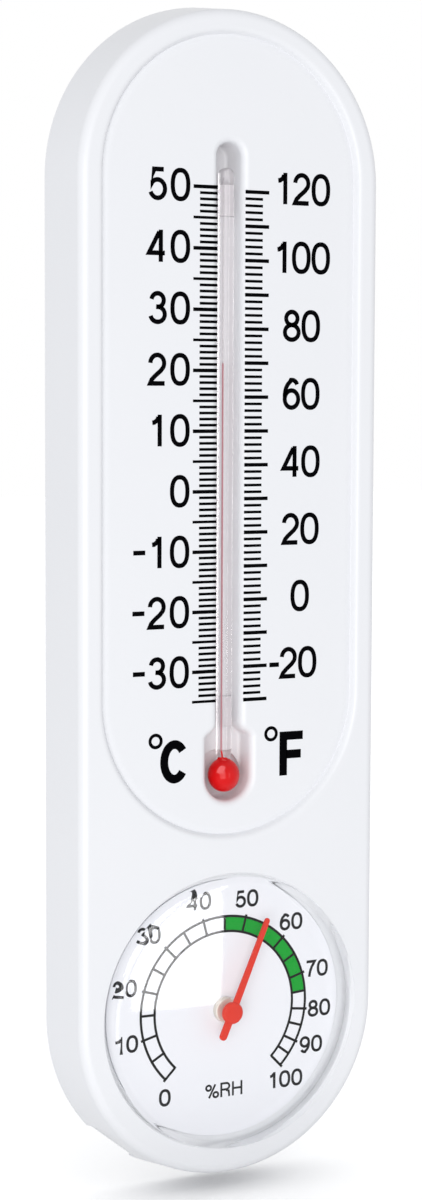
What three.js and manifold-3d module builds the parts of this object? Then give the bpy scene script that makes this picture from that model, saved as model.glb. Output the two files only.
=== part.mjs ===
// Outdoor thermo-hygrometer for a wall: a white moulded housing with a glass thermometer and a
// dial hygrometer. Millimetres, +Z up, the front faces -Y and +X is the viewer's right.
// The origin lies on the back plane, in the middle of the housing.
import * as THREE from 'three';
import { mergeVertices } from 'three/addons/utils/BufferGeometryUtils.js';
import Module from 'manifold-3d';

const wasm = await Module();
wasm.setup();

// Housing
const capCentre = 81.6;             // centres of the round ends, above and below the middle
const backHalfWidth = 34.2;         // at the back plane
const sideDraft = 2;                // the side wall comes in by this towards the front face
const wall = 2;                     // wall thickness of the moulding
const frontEdgeRadius = 2;
const backEdgeRadius = 0.5;
const fitGap = 0.3;                 // between pieces that touch or nest
const runningGap = 0.15;            // between pieces that turn or slide in each other
const overrun = 2;                  // how far a cutting body runs past the face that it cuts
const weldDistance = 0.00001;       // vertices nearer than this are one

// Scale panel, sunk into the front face
const panelMargin = 3.9;            // from the side of the front face
const panelDepth = 1.2;
const panelSlope = 1.1;             // width of the sloping edge
const panelHeadMargin = 3.5;        // from the top of the front face
const panelFootMargin = 7.5;        // from the top of the lens

// Glass thermometer
const zeroHeight = 21.65;           // height of 0 degrees Celsius
const degreeLength = 1.17;          // 50 degrees are 58.5 mm long
const restDegrees = 21.2;           // what it reads at rest
const tubeRadius = 1.55;
const tubeDepth = 2.4;              // the tube's axis behind the panel's face
const tubeTop = 84.1;
const tubeTipHeight = 1.3;          // of the melted round tip
const bulbHeight = -34.45;
const bulbRadius = 3.05;
const bulbStretchShare = 1.06;      // the bulb is a little taller than wide
const glassWall = 0.35;
const boreRadius = 0.42;
const boreSetBack = 0.7;            // the bore lies nearer the back of the glass
const threadRadius = 0.26;
const threadStart = 5;              // above the bulb's centre
const risingLength = 6;             // top stretch of the thread, which rises and falls

// Tube channel and bulb well
const channelHalfWidth = 2.55;
const channelHead = 4.75;           // above the tube's tip
const channelDepth = 5;
const channelWall = 1.4;
const pocketDepth = 7;              // the channel is deeper above the tube's tip
const pocketDrop = 1.1;             // its foot below the tube's tip
const wellRadius = 4.87;
const wellRise = 8.5;               // top of the well above the bulb's centre
const wellDepth = 6.4;
const wellCornerRadius = 1.15;
const neckCornerRadius = 2.15;
const lipRadius = 1.45;             // rounding of the rim of channel and well

// Mastic pads that hold the tube
const padWidth = 2.9;
const padLength = 6;
const padWrap = 0.5;                // how far a pad rises beside the tube
const upperPadDrop = 6.1;           // below the tube's tip
const lowerPadRise = 12.45;         // above the bulb's centre

// Hygrometer lens and dial
const dialRise = 0.2;               // the dial's axis above the centre of the lower round end
const lensMargin = 5.1;             // from the side of the front face
const lensWall = 1.2;
const lensRise = 1.8;               // straight skirt in front of the front face
const lensShoulder = 1.5;
const lensCrown = 1.4;              // height of the dome above its shoulder
const flangeWidth = 1.5;            // how far the flange stands out beyond the lens
const flangeThickness = 1;
const dialThickness = 0.4;

// Dial carrier
const carrierThickness = 1.6;
const windowLand = 1.4;             // between the bridge's leg and an air window
const windowMargin = 4.1;           // between an air window and the dial's edge
const windowSpan = 50;              // degrees
const windowTurns = [45, 135, 225, 315];
const lugStandOff = 3;              // lug screws beyond the lens's flange
const lugTurns = [58, 122];         // degrees from the horizontal
const lugRadius = 2.5;
const tongueWidth = 7.4;
const tongueReach = 1.3;
const hookThickness = 1.4;

// Movement
const bushFlangeRadius = 2.5;
const bushFlangeThickness = 1.1;
const bushBarrelRadius = 1.3;
const arborRadius = 0.6;
const pivotRadius = 0.4;
const pivotReach = 1.4;             // into the stud's blind bearing
const pointerStandOff = 3.3;        // dial face to the back of the blade
const bladeThickness = 0.5;
const hubThickness = 0.9;
const hubRadius = 2.2;
const hubFace = 0.3;                // front wall of the hub, in front of the arbor's socket
const pointerMargin = 5.7;          // from the pointer's tip to the dial's edge
const pointerTail = 5.75;
const bladeRootWidth = 1.4;
const bladeTipWidth = 1.05;
const tailWidth = 1.6;
const restAngle = 66.6;             // degrees from the horizontal, at about 53 % humidity
const colletRadius = 2.2;
const colletLength = 2;
const coilWidth = 2.6;
const coilThickness = 0.35;
const coilPitch = 1.1;
const coilTurns = 6;
const coilSteps = 16;               // per turn
const regulatorThickness = 0.6;
const regulatorHubRadius = 3.2;
const regulatorArmWidth = 2.2;
const postRadius = 0.6;
const studRadius = 1.6;
const studFlangeRadius = 2.3;
const studFlangeThickness = 0.4;
const studHeadRadius = 2.6;
const studHeadThickness = 1.2;
const studSlotWidth = 0.8;
const studSlotDepth = 0.6;
const bridgeThickness = 0.7;
const bridgeWidth = 7;
const bridgeClearance = 1.05;       // between the coil and the bridge's legs
const bridgeFoot = 6;
const coilClearance = 0.8;          // between the dial carrier and the coil
const rearRoom = 0.9;               // between the bridge and the rear cover

// Rear cover
const coverThickness = 1.8;
const coverRim = 1.2;               // width of the housing's rim around the cover
const keyholeRise = 12.9;           // above the centre of the upper round end
const keyholeRadius = 4.5;
const keyholeSlotWidth = 4.6;
const keyholeSlotReach = 8;
const accessRadius = 3.5;
const ventWidth = 1.8;
const ventPitch = 4;
const ventFieldMargin = 11.7;       // from the cover's edge to the vents behind the dial
const ventMargin = 2.4;
const bulbVentLength = 10;
const bulbVentRows = 3;
const ribWidth = 1;
const ribDepth = 1.6;
const lowestRib = -8;               // height of its lower face
const ribPitch = 34;
const ribCount = 3;
const notchTurns = [-128.5, -51.5]; // degrees, of the two pry notches in the lower side wall
const notchWidth = 12;
const notchDepth = 0.9;             // at the back edge, less than the rim

// Screws
const upperScrewX = 15;
const upperScrewRise = 12.4;        // above the centre of the upper round end
const lowerScrewInset = 12.2;       // from the side at the back plane
const lowerScrewHeight = -42;
const bossRadius = 2.8;
const threadCoreRadius = 0.75;
const pilotRadius = 1.05;
const clearanceRadius = 1.45;
const coverScrewHead = 2.1;
const coverScrewReach = 5.5;
const smallScrewHead = 1.8;
const lugScrewReach = 3.4;
const bridgeScrewReach = 2.6;
const screwHeadThickness = 1;
const counterboreDepth = 1.1;
const driveWidth = 2.2;
const driveDepth = 0.5;
const driveSlot = 0.5;

// Smoothness, in steps of a half turn and of a quarter turn
const largeSteps = 32;
const smallSteps = 8;
const lensSteps = 48;               // all the way round
const crownSteps = 5;
const screwSteps = 12;              // all the way round
const slotSteps = 4;
const lipSteps = 3;

// Widths and radii that follow from the housing's width and from the coil
const frontHalfWidth = backHalfWidth - sideDraft;
const panelHalfWidth = frontHalfWidth - panelMargin;
const lensRadius = frontHalfWidth - lensMargin;
const flangeRadius = lensRadius + flangeWidth;
const dialRadius = lensRadius - lensWall - fitGap;
const pointerTip = dialRadius - pointerMargin;
const coilStart = colletRadius + fitGap + coilThickness / 2;
const coilEnd = coilStart + coilPitch * coilTurns;
const bridgeHalfSpan = coilEnd + coilThickness / 2 + bridgeClearance + bridgeThickness;
const windowInner = bridgeHalfSpan + windowLand;
const windowOuter = dialRadius - windowMargin;
const lugReach = flangeRadius + lugStandOff;
const coverRadius = backHalfWidth - coverRim - fitGap;
const ventFieldRadius = coverRadius - ventFieldMargin;
const lowerScrewX = backHalfWidth - lowerScrewInset;

// Depth of the housing: what lies behind each other at the dial, from front to back
const bodyDepth = wall + fitGap + flangeThickness + fitGap + carrierThickness + coilClearance
  + coilWidth + fitGap + regulatorThickness + fitGap + bridgeThickness + rearRoom + coverThickness;

// Planes across the depth, from front to back
const frontY = -bodyDepth;
const panelY = frontY + panelDepth;
const panelBackY = panelY + wall;
const frontBackY = frontY + wall;
const tubeY = panelY + tubeDepth;
const channelFloorY = panelY + channelDepth;
const wellFloorY = panelY + wellDepth;
const pocketFloorY = panelY + pocketDepth;
const flangeFrontY = frontBackY + fitGap;
const flangeBackY = flangeFrontY + flangeThickness;
const dialFaceY = flangeBackY - dialThickness;
const carrierFrontY = flangeBackY + fitGap;
const carrierBackY = carrierFrontY + carrierThickness;
const bladeBackY = dialFaceY - pointerStandOff;
const coilFrontY = carrierBackY + coilClearance;
const coilBackY = coilFrontY + coilWidth;
const regulatorFrontY = coilBackY + fitGap;
const regulatorBackY = regulatorFrontY + regulatorThickness;
const bridgeFrontY = regulatorBackY + fitGap;
const bridgeBackY = bridgeFrontY + bridgeThickness;
const studFlangeBackY = regulatorFrontY - fitGap;
const studFlangeFrontY = studFlangeBackY - studFlangeThickness;
const colletBackY = studFlangeFrontY - fitGap;
const coverFrontY = -coverThickness;
const ledgeY = coverFrontY - fitGap;

// Heights and places that follow from those above
const dialHeight = dialRise - capCentre;
const panelTop = capCentre + frontHalfWidth - panelHeadMargin;
const panelBottom = dialHeight + lensRadius + panelFootMargin;
const channelTop = tubeTop + channelHead;
const pocketFoot = tubeTop - pocketDrop;
const wellTop = bulbHeight + wellRise;
const upperPadHeight = tubeTop - upperPadDrop;
const lowerPadHeight = bulbHeight + lowerPadRise;
const keyholeHeight = capCentre + keyholeRise;
const upperScrewHeight = capCentre + upperScrewRise;
const threadFoot = bulbHeight + threadStart;
const threadTop = zeroHeight + degreeLength * restDegrees;
const postReach = coilEnd + coilThickness / 2 + fitGap + postRadius;
const footScrewX = bridgeHalfSpan + bridgeFoot / 2;
const lugPlaces = lugTurns.map((turn) => around(lugReach, turn));
const screwPlaces = [
  [-upperScrewX, upperScrewHeight], [upperScrewX, upperScrewHeight],
  [-lowerScrewX, lowerScrewHeight], [lowerScrewX, lowerScrewHeight],
];

// Finishes, as the photograph shows them
const whitePlastic = { color: 0xf2f4f8, roughness: 0.32, metalness: 0 };
const backPlastic = { color: 0xeceef1, roughness: 0.45, metalness: 0 };
const clearGlass = { color: 0xf4f8f8, roughness: 0.05, metalness: 0 };
const redLiquid = { color: 0xd8101a, roughness: 0.2, metalness: 0 };
const mastic = { color: 0xe4e2da, roughness: 0.7, metalness: 0 };
const clearPlastic = { color: 0xf6f9fb, roughness: 0.06, metalness: 0 };
const dialWhite = { color: 0xf7f7fb, roughness: 0.5, metalness: 0 };
const brass = { color: 0xc9ab72, roughness: 0.35, metalness: 1 };
const pointerRed = { color: 0xe43a26, roughness: 0.4, metalness: 0 };
const steel = { color: 0xb9bcc0, roughness: 0.3, metalness: 1 };
const coilFoil = { color: 0xa98b5d, roughness: 0.55, metalness: 0.2 };

const quarterTurn = 90;             // degrees

// Point at a distance and an angle in degrees, as [x, z]
function around(reach, turn) {
  const angle = THREE.MathUtils.degToRad(turn);
  return [reach * Math.cos(angle), reach * Math.sin(angle)];
}

// Half width of the outside at a depth
function outsideAt(y) {
  return backHalfWidth + (frontHalfWidth - backHalfWidth) * (-y / bodyDepth);
}

// A closed geometry as a solid that can be joined and cut, its faces pointing out
function solid(geometry) {
  const bare = geometry.clone();
  bare.deleteAttribute('normal');
  bare.deleteAttribute('uv');
  const { attributes, index } = mergeVertices(bare, weldDistance);
  const triangles = [];
  for (let i = 0; i < index.count; i += 3) {
    const corners = [index.getX(i), index.getX(i + 1), index.getX(i + 2)];
    if (new Set(corners).size === corners.length) triangles.push(...corners);
  }
  const vertProperties = attributes.position.array;
  if (signedVolume(vertProperties, triangles) < 0) triangles.reverse();
  return new wasm.Manifold(new wasm.Mesh({
    numProp: 3, vertProperties, triVerts: new Uint32Array(triangles),
  }));
}

function signedVolume(positions, triangles) {
  const corner = (i) => new THREE.Vector3().fromArray(positions, 3 * triangles[i]);
  let sum = 0;
  for (let i = 0; i < triangles.length; i += 3) {
    sum += corner(i).dot(corner(i + 1).cross(corner(i + 2)));
  }
  return sum;
}

const join = (first, ...rest) => rest.reduce((sum, next) => sum.add(next), first);
const cut = (first, ...rest) => rest.reduce((left, next) => left.subtract(next), first);

// Names a finished solid and hangs it in the scene
function piece(parent, name, body, finish, position = [0, 0, 0], turn = 0) {
  const { vertProperties, triVerts } = body.getMesh();
  const geometry = new THREE.BufferGeometry();
  geometry.setAttribute('position', new THREE.BufferAttribute(vertProperties, 3));
  geometry.setIndex(new THREE.BufferAttribute(triVerts, 1));
  geometry.computeVertexNormals();
  const mesh = new THREE.Mesh(geometry, new THREE.MeshStandardMaterial(finish));
  mesh.name = name;
  mesh.position.set(...position);
  mesh.rotation.y = THREE.MathUtils.degToRad(turn);
  parent.add(mesh);
}

// An outline in the XZ plane made of arcs. Growing it by an offset widens the arcs that bulge
// outwards and narrows those that bulge inwards, so that a stack of grown outlines makes
// rounded rims and drafted walls.
function outlinePoints(arcs, offset) {
  return arcs.flatMap(({ x, z, radius, from, to, steps, inward }) => {
    const reach = inward ? radius - offset : radius + offset;
    return Array.from({ length: steps + 1 }, (_, i) => {
      const [dx, dz] = around(reach, from + (to - from) * (i / steps));
      return new THREE.Vector2(x + dx, z + dz);
    });
  });
}

// Solid through outlines stacked along Y, each ring given as [offset, y]
function stacked(arcs, rings) {
  const outlines = rings.map(([offset]) => outlinePoints(arcs, offset));
  const position = outlines.flatMap((points, ring) => (
    points.flatMap((p) => [p.x, rings[ring][1], p.y])
  ));
  const count = outlines[0].length;
  const index = [];
  for (let ring = 0; ring + 1 < rings.length; ring += 1) {
    for (let i = 0; i < count; i += 1) {
      const a = ring * count + i;
      const b = ring * count + ((i + 1) % count);
      index.push(a, b, b + count, a, b + count, a + count);
    }
  }
  const last = (rings.length - 1) * count;
  for (const [a, b, c] of THREE.ShapeUtils.triangulateShape(outlines[0], [])) index.push(a, c, b);
  for (const [a, b, c] of THREE.ShapeUtils.triangulateShape(outlines.at(-1), [])) {
    index.push(last + a, last + b, last + c);
  }
  const geometry = new THREE.BufferGeometry();
  geometry.setAttribute('position', new THREE.Float32BufferAttribute(position, 3));
  geometry.setIndex(index);
  return solid(geometry);
}

// Stadium outline with its round ends about two heights
function stadium(radius, topCentre, bottomCentre, steps = largeSteps) {
  return [
    { x: 0, z: topCentre, radius, from: 0, to: 180, steps },
    { x: 0, z: bottomCentre, radius, from: 180, to: 360, steps },
  ];
}

// Slot with round ends along X
function slot(x, z, length, width, fromY, toY) {
  const radius = width / 2;
  const shift = length / 2 - radius;
  return stacked([
    { x: x + shift, z, radius, from: -90, to: 90, steps: slotSteps },
    { x: x - shift, z, radius, from: 90, to: 270, steps: slotSteps },
  ], [[0, fromY], [0, toY]]);
}

// Body turned about a line along Y through (x, z); the profile's points are [radius, y]
function turned(profile, x = 0, z = 0, steps = 2 * smallSteps) {
  const points = profile.map(([radius, y]) => new THREE.Vector2(radius, y));
  return solid(new THREE.LatheGeometry(points, steps).translate(x, 0, z));
}

// Body turned about an upright line through y; the profile's points are [radius, z]
function upright(profile, y = 0, steps = 2 * smallSteps) {
  const points = profile.map(([radius, z]) => new THREE.Vector2(radius, z));
  return solid(new THREE.LatheGeometry(points, steps).rotateX(Math.PI / 2).translate(0, y, 0));
}

// Profile of a plain pin or hole
const straight = (radius, from, to) => [[0, from], [radius, from], [radius, to], [0, to]];

function block(x0, x1, y0, y1, z0, z1) {
  const geometry = new THREE.BoxGeometry(x1 - x0, y1 - y0, z1 - z0);
  return solid(geometry.translate((x0 + x1) / 2, (y0 + y1) / 2, (z0 + z1) / 2));
}

// Flat piece of an outline in the XZ plane, between two planes
function plate(points, fromY, toY) {
  const shape = new THREE.Shape(points.map(([x, z]) => new THREE.Vector2(x, z)));
  const geometry = new THREE.ExtrudeGeometry(shape, { depth: toY - fromY, bevelEnabled: false });
  return solid(geometry.rotateX(Math.PI / 2).translate(0, toY, 0));
}

// Quarter round as [across, along] pairs, from the side tangent to the face tangent
function quarterRound(radius) {
  return Array.from({ length: lipSteps + 1 }, (_, i) => {
    const [along, across] = around(radius, quarterTurn * (i / lipSteps));
    return [radius - along, radius - across];
  });
}

// Channel and bulb well as one outline: the round top, the rounded corners where the channel
// meets the well, the well's shoulders and its round foot
function channelArcs() {
  const neckX = channelHalfWidth + neckCornerRadius;
  const neckZ = wellTop + neckCornerRadius;
  const shoulderX = wellRadius - wellCornerRadius;
  const shoulderZ = wellTop - wellCornerRadius;
  const corner = { steps: smallSteps / 2 };
  const neck = { ...corner, z: neckZ, radius: neckCornerRadius, inward: true };
  const shoulder = { ...corner, z: shoulderZ, radius: wellCornerRadius };
  const round = { x: 0, steps: 2 * smallSteps };
  return [
    { ...round, z: channelTop - channelHalfWidth, radius: channelHalfWidth, from: 0, to: 180 },
    { ...neck, x: -neckX, from: 0, to: -60 },
    { ...shoulder, x: -shoulderX, from: 120, to: 180 },
    { ...round, z: bulbHeight, radius: wellRadius, from: 180, to: 360 },
    { ...shoulder, x: shoulderX, from: 0, to: 60 },
    { ...neck, x: neckX, from: 240, to: 180 },
  ];
}

// Front housing: drafted shell with rounded edges, open at the back
function housingShell() {
  const ends = stadium(0, capCentre, -capCentre);
  const edgeY = frontY + frontEdgeRadius;
  const edge = quarterRound(frontEdgeRadius)
    .map(([across, along]) => [outsideAt(edgeY) - across, frontY + along]).reverse();
  const outer = stacked(ends, [
    ...edge, [backHalfWidth, -backEdgeRadius], [backHalfWidth - backEdgeRadius, 0],
  ]);
  const inside = outsideAt(ledgeY) - wall;
  const cavity = stacked(ends, [
    [outsideAt(frontBackY) - wall, frontBackY], [inside, ledgeY], [inside, overrun],
  ]);
  const rim = backHalfWidth - coverRim;
  return cut(outer, cavity, stacked(ends, [[rim, ledgeY], [rim, overrun]]));
}

// The space between the middle of the front wall and the ledge, which trims what is added inside
function innerSpace() {
  const startY = frontBackY - wall / 2;
  return stacked(stadium(0, capCentre, -capCentre), [
    [outsideAt(startY) - wall / 2, startY], [outsideAt(ledgeY) - wall / 2, ledgeY],
  ]);
}

function frontHousing() {
  const panelEnds = stadium(0, panelTop - panelHalfWidth, panelBottom + panelHalfWidth);
  const startY = frontBackY - wall / 2;
  const panelBack = stacked(panelEnds, [[panelHalfWidth, startY], [panelHalfWidth, panelBackY]]);
  const panelCut = stacked(panelEnds, [
    [panelHalfWidth + panelSlope, frontY - panelDepth],
    [panelHalfWidth, frontY],
    [panelHalfWidth - panelSlope, panelY],
  ]);

  const channel = channelArcs();
  const wellEnds = stadium(wellRadius, wellTop - wellRadius, bulbHeight, 2 * smallSteps);
  const pocketTop = channelTop - channelHalfWidth;
  const pocketEnds = stadium(channelHalfWidth, pocketTop, pocketFoot, 2 * smallSteps);
  const behind = (arcs, floorY) => stacked(arcs, [
    [channelWall, panelY + wall / 2], [channelWall, floorY + channelWall],
  ]);
  const pit = (arcs, floorY) => stacked(arcs, [[0, panelY + wall], [0, floorY]]);
  const lip = quarterRound(lipRadius).map(([across, along]) => [across, panelY + along]).reverse();
  const channelCut = stacked(channel, [[lipRadius, panelY - overrun], ...lip, [0, channelFloorY]]);
  const roundWell = stadium(wellRadius, bulbHeight, bulbHeight, 2 * smallSteps);

  const seatInner = flangeRadius + fitGap;
  const seat = turned([
    [seatInner, startY], [frontHalfWidth, startY], [frontHalfWidth, flangeBackY],
    [seatInner, flangeBackY], [seatInner, startY],
  ], 0, dialHeight, 2 * largeSteps);
  const lensHole = turned(
    straight(lensRadius + fitGap, frontY - overrun, frontBackY + overrun), 0, dialHeight, 2 * largeSteps,
  );

  const coverBosses = screwPlaces.map(([x, z]) => turned(
    straight(bossRadius, frontY + wall / 2, coverFrontY - fitGap), x, z,
  ));
  const lugBosses = lugPlaces.map(([x, z]) => turned(
    straight(lugRadius, frontY + wall / 2, carrierFrontY - fitGap), x, dialHeight + z,
  ));
  const coverPilots = screwPlaces.map(([x, z]) => turned(
    straight(pilotRadius, -counterboreDepth - coverScrewReach - fitGap, overrun), x, z,
  ));
  const lugPilots = lugPlaces.map(([x, z]) => turned(
    straight(pilotRadius, carrierBackY - lugScrewReach, overrun), x, dialHeight + z,
  ));

  const hookTop = dialHeight - flangeRadius - fitGap;
  const hook = block(
    -tongueWidth / 2, tongueWidth / 2, carrierBackY + fitGap, carrierBackY + fitGap + hookThickness,
    hookTop - tongueReach - 2 * wall, hookTop,
  );

  const trim = innerSpace();
  const solids = join(
    housingShell(), join(panelBack, seat, hook).intersect(trim),
    behind(channel, channelFloorY), behind(wellEnds, wellFloorY), behind(pocketEnds, pocketFloorY),
    ...coverBosses, ...lugBosses,
  );
  return cut(
    solids, panelCut, lensHole, channelCut, pit(pocketEnds, pocketFloorY), pit(roundWell, wellFloorY),
    ...coverPilots, ...lugPilots, ...notchTurns.map(pryNotch),
  );
}

// Flat in the lower side wall, deepest at the back edge, where the cover is pried out
function pryNotch(turn) {
  const [x, z] = around(backHalfWidth - notchDepth + overrun, turn);
  const geometry = new THREE.BoxGeometry(2 * overrun, 2 * bodyDepth, notchWidth);
  geometry.rotateY(-THREE.MathUtils.degToRad(turn));
  return solid(geometry.translate(x, 0, z - capCentre));
}

// Rear cover: inset plate with a keyhole, vents, screw holes and an access hole to the stud
function rearCover() {
  const through = [coverFrontY - overrun, overrun];
  const cover = stacked(stadium(coverRadius, capCentre, -capCentre), [[0, coverFrontY], [0, 0]]);
  const ribEnd = coverRadius - 2 * wall;
  const ribs = Array.from({ length: ribCount }, (_, i) => lowestRib + i * ribPitch).map((z) => block(
    -ribEnd, ribEnd, coverFrontY - ribDepth, coverFrontY / 2, z, z + ribWidth,
  ));
  const slotRadius = keyholeSlotWidth / 2;
  const cuts = [
    turned(straight(keyholeRadius, ...through), 0, keyholeHeight, 4 * smallSteps),
    turned(straight(accessRadius, ...through), 0, dialHeight, 4 * smallSteps),
    stacked(
      stadium(slotRadius, keyholeHeight + keyholeSlotReach, keyholeHeight, smallSteps),
      through.map((y) => [0, y]),
    ),
    ...screwPlaces.map(([x, z]) => turned(straight(clearanceRadius, ...through), x, z)),
    ...screwPlaces.map(([x, z]) => turned(
      straight(coverScrewHead + fitGap, -counterboreDepth, overrun), x, z,
    )),
    ...dialVents(through),
    ...rows(bulbVentRows).map((rise) => slot(
      0, bulbHeight + rise, bulbVentLength, ventWidth, ...through,
    )),
  ];
  return cut(join(cover, ...ribs), ...cuts);
}

// Heights of a stack of vent rows, from the middle one
function rows(count) {
  return Array.from({ length: count }, (_, i) => (i - (count - 1) / 2) * ventPitch);
}

// Vents fill a round field behind the dial, and stay clear of its middle and of the access hole
function dialVents(through) {
  const ventRows = 1 + 2 * Math.floor((ventFieldRadius - ventWidth) / ventPitch);
  return rows(ventRows).flatMap((rise) => {
    const outer = Math.sqrt(ventFieldRadius ** 2 - rise ** 2);
    const keepOut = accessRadius + ventMargin;
    const inner = Math.abs(rise) < keepOut ? keepOut : ventMargin / 2;
    return [-1, 1].map((side) => slot(
      side * (outer + inner) / 2, dialHeight + rise, outer - inner, ventWidth, ...through,
    ));
  });
}

// Screw with its bearing face at y = 0, its point towards -Y and a cross recess in its head
function screw(headRadius, reach) {
  const edge = screwHeadThickness / 2;
  const body = turned([
    [0, -reach], [threadCoreRadius / 2, -reach], [threadCoreRadius, -reach + threadCoreRadius],
    [threadCoreRadius, 0], [headRadius, 0], [headRadius, edge],
    [headRadius - edge, screwHeadThickness], [0, screwHeadThickness],
  ], 0, 0, screwSteps);
  const floorY = screwHeadThickness - driveDepth;
  const arm = [-driveWidth / 2, driveWidth / 2];
  const gap = [-driveSlot / 2, driveSlot / 2];
  const drive = (across, along) => block(...across, floorY, floorY + overrun, ...along);
  return cut(body, drive(arm, gap), drive(gap, arm));
}

// Outside of the bulb, from its foot round to a neck that runs up to a height
function bulbProfile(radius, neckRadius, top) {
  const steps = smallSteps;
  const start = -90;
  const end = THREE.MathUtils.radToDeg(Math.acos(neckRadius / radius));
  const points = Array.from({ length: steps }, (_, i) => {
    const [across, along] = around(radius, start + (end - start) * ((i + 1) / steps));
    return [across, along * bulbStretchShare];
  });
  return [[0, -radius * bulbStretchShare], ...points, [neckRadius, top], [0, top]];
}

// Glass bulb and tube, measured from the bulb's centre on the tube's upright axis
function glassTube() {
  const top = tubeTop - bulbHeight;
  const shoulder = top - tubeTipHeight;
  const outer = upright(bulbProfile(bulbRadius, tubeRadius, shoulder));
  const tip = upright([
    [0, shoulder - tubeTipHeight], [tubeRadius, shoulder - tubeTipHeight], [tubeRadius, shoulder],
    ...quarterRound(tubeTipHeight).map(([across, along]) => [tubeRadius - across, top - along]), [0, top],
  ]);
  const hollow = upright(bulbProfile(bulbRadius - glassWall, boreRadius, threadStart));
  const bore = upright(straight(boreRadius, 0, top + overrun), boreSetBack, smallSteps);
  return cut(join(outer, tip), hollow, bore);
}

function bulbLiquid() {
  const poolRadius = bulbRadius - glassWall - fitGap;
  const pool = upright(bulbProfile(poolRadius, threadRadius, poolRadius));
  return join(pool, thread(0, threadStart));
}

const thread = (from, to) => upright(straight(threadRadius, from, to), boreSetBack, smallSteps);

// Mastic pad between the channel's floor and the tube, hollowed to the tube's back
function masticPad() {
  const half = padLength / 2;
  const body = block(
    -padWidth / 2, padWidth / 2, tubeRadius - padWrap, channelFloorY - fitGap - tubeY, -half, half,
  );
  return body.subtract(upright(straight(tubeRadius + fitGap, -padLength, padLength)));
}

// Profile of the lens's crown and shoulder, drawn in by a wall from the outside
function lensProfile(inset) {
  const shoulder = lensShoulder - inset / 2;
  const crownRadius = lensRadius - inset - shoulder;
  const crownY = frontY - lensRise - lensShoulder - lensCrown + inset;
  const crown = Array.from({ length: crownSteps }, (_, i) => {
    const share = i / crownSteps;
    return [crownRadius * share, crownY + lensCrown * share ** 2];
  });
  const rounding = quarterRound(shoulder).reverse()
    .map(([across, along]) => [crownRadius + shoulder - across, crownY + lensCrown + along]);
  return [...crown, ...rounding];
}

function hygrometerLens() {
  const outer = turned([
    ...lensProfile(0), [lensRadius, flangeFrontY], [flangeRadius, flangeFrontY],
    [flangeRadius, flangeBackY], [0, flangeBackY],
  ], 0, 0, lensSteps);
  const backY = flangeBackY + overrun;
  const inner = turned([
    ...lensProfile(lensWall), [lensRadius - lensWall, backY], [0, backY],
  ], 0, 0, lensSteps);
  return outer.subtract(inner);
}

function dialPlate() {
  const plain = turned(straight(dialRadius, dialFaceY, flangeBackY), 0, 0, 2 * largeSteps);
  const hole = straight(bushBarrelRadius + fitGap, dialFaceY - overrun, flangeBackY + overrun);
  return plain.subtract(turned(hole));
}

// Dial carrier: disc with air windows, two screw lugs and a tongue at its foot
function dialCarrier() {
  const flat = [carrierFrontY, carrierBackY];
  const through = [carrierFrontY - overrun, carrierBackY + overrun];
  const base = turned(straight(flangeRadius, ...flat), 0, 0, 2 * largeSteps);
  const lugs = lugPlaces.flatMap(([x, z]) => {
    const foot = x * (windowOuter / lugReach);
    const footZ = z * (windowOuter / lugReach);
    return [
      turned(straight(lugRadius, ...flat), x, z),
      plate([
        [foot - lugRadius, footZ], [foot + lugRadius, footZ], [x + lugRadius, z], [x - lugRadius, z],
      ], ...flat),
    ];
  });
  const tongueFoot = -flangeRadius - tongueReach;
  const half = tongueWidth / 2 - fitGap;
  const tongue = block(-half, half, ...flat, tongueFoot, tongueFoot + 2 * tongueReach);
  return cut(
    join(base, tongue, ...lugs),
    ...lugPlaces.map(([x, z]) => turned(straight(clearanceRadius, ...through), x, z)),
    ...[-1, 1].map((side) => turned(straight(pilotRadius, ...through), side * footScrewX, 0)),
    turned(straight(bushBarrelRadius + fitGap, ...through)),
    ...windowTurns.map((turn) => airWindow(turn, through)),
  );
}

// Opening in the shape of a piece of a ring
function airWindow(turn, through) {
  const arc = (radius, direction) => Array.from({ length: smallSteps + 1 }, (_, i) => (
    around(radius, turn + direction * windowSpan * (i / smallSteps - 1 / 2))
  ));
  return plate([...arc(windowOuter, 1), ...arc(windowInner, -1)], ...through);
}

// Front bushing: flange in front of the dial and a barrel through dial and carrier
function frontBushing() {
  const flangeBack = dialFaceY - fitGap;
  const flangeFront = flangeBack - bushFlangeThickness;
  const barrelEnd = carrierBackY + fitGap;
  const bore = arborRadius + runningGap;
  return turned([
    [bore, flangeFront], [bushFlangeRadius, flangeFront], [bushFlangeRadius, flangeBack],
    [bushBarrelRadius, flangeBack], [bushBarrelRadius, barrelEnd], [bore, barrelEnd], [bore, flangeFront],
  ]);
}

// Pointer, drawn along +X: round hub, tapered blade and blunt tail in one flat piece
function pointer() {
  const flat = [bladeBackY - bladeThickness, bladeBackY];
  const tip = bladeTipWidth / 2;
  const root = bladeRootWidth / 2;
  const tail = tailWidth / 2;
  const tipX = pointerTip - tip;
  const tailX = tail - pointerTail;
  const blade = plate([[0, -root], [tipX, -tip], [tipX, tip], [0, root]], ...flat);
  const counter = block(tailX, 0, ...flat, -tail, tail);
  const hubFront = bladeBackY - hubThickness;
  const hub = turned([
    [0, hubFront], [hubRadius - bladeThickness, hubFront], [hubRadius, hubFront + bladeThickness],
    [hubRadius, bladeBackY], [0, bladeBackY],
  ], 0, 0, 3 * smallSteps);
  const socket = turned(straight(arborRadius + runningGap, hubFront + hubFace, bladeBackY + overrun));
  return cut(join(
    blade, counter, hub,
    turned(straight(tip, ...flat), tipX, 0),
    turned(straight(tail, ...flat), tailX, 0),
  ), socket);
}

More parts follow.
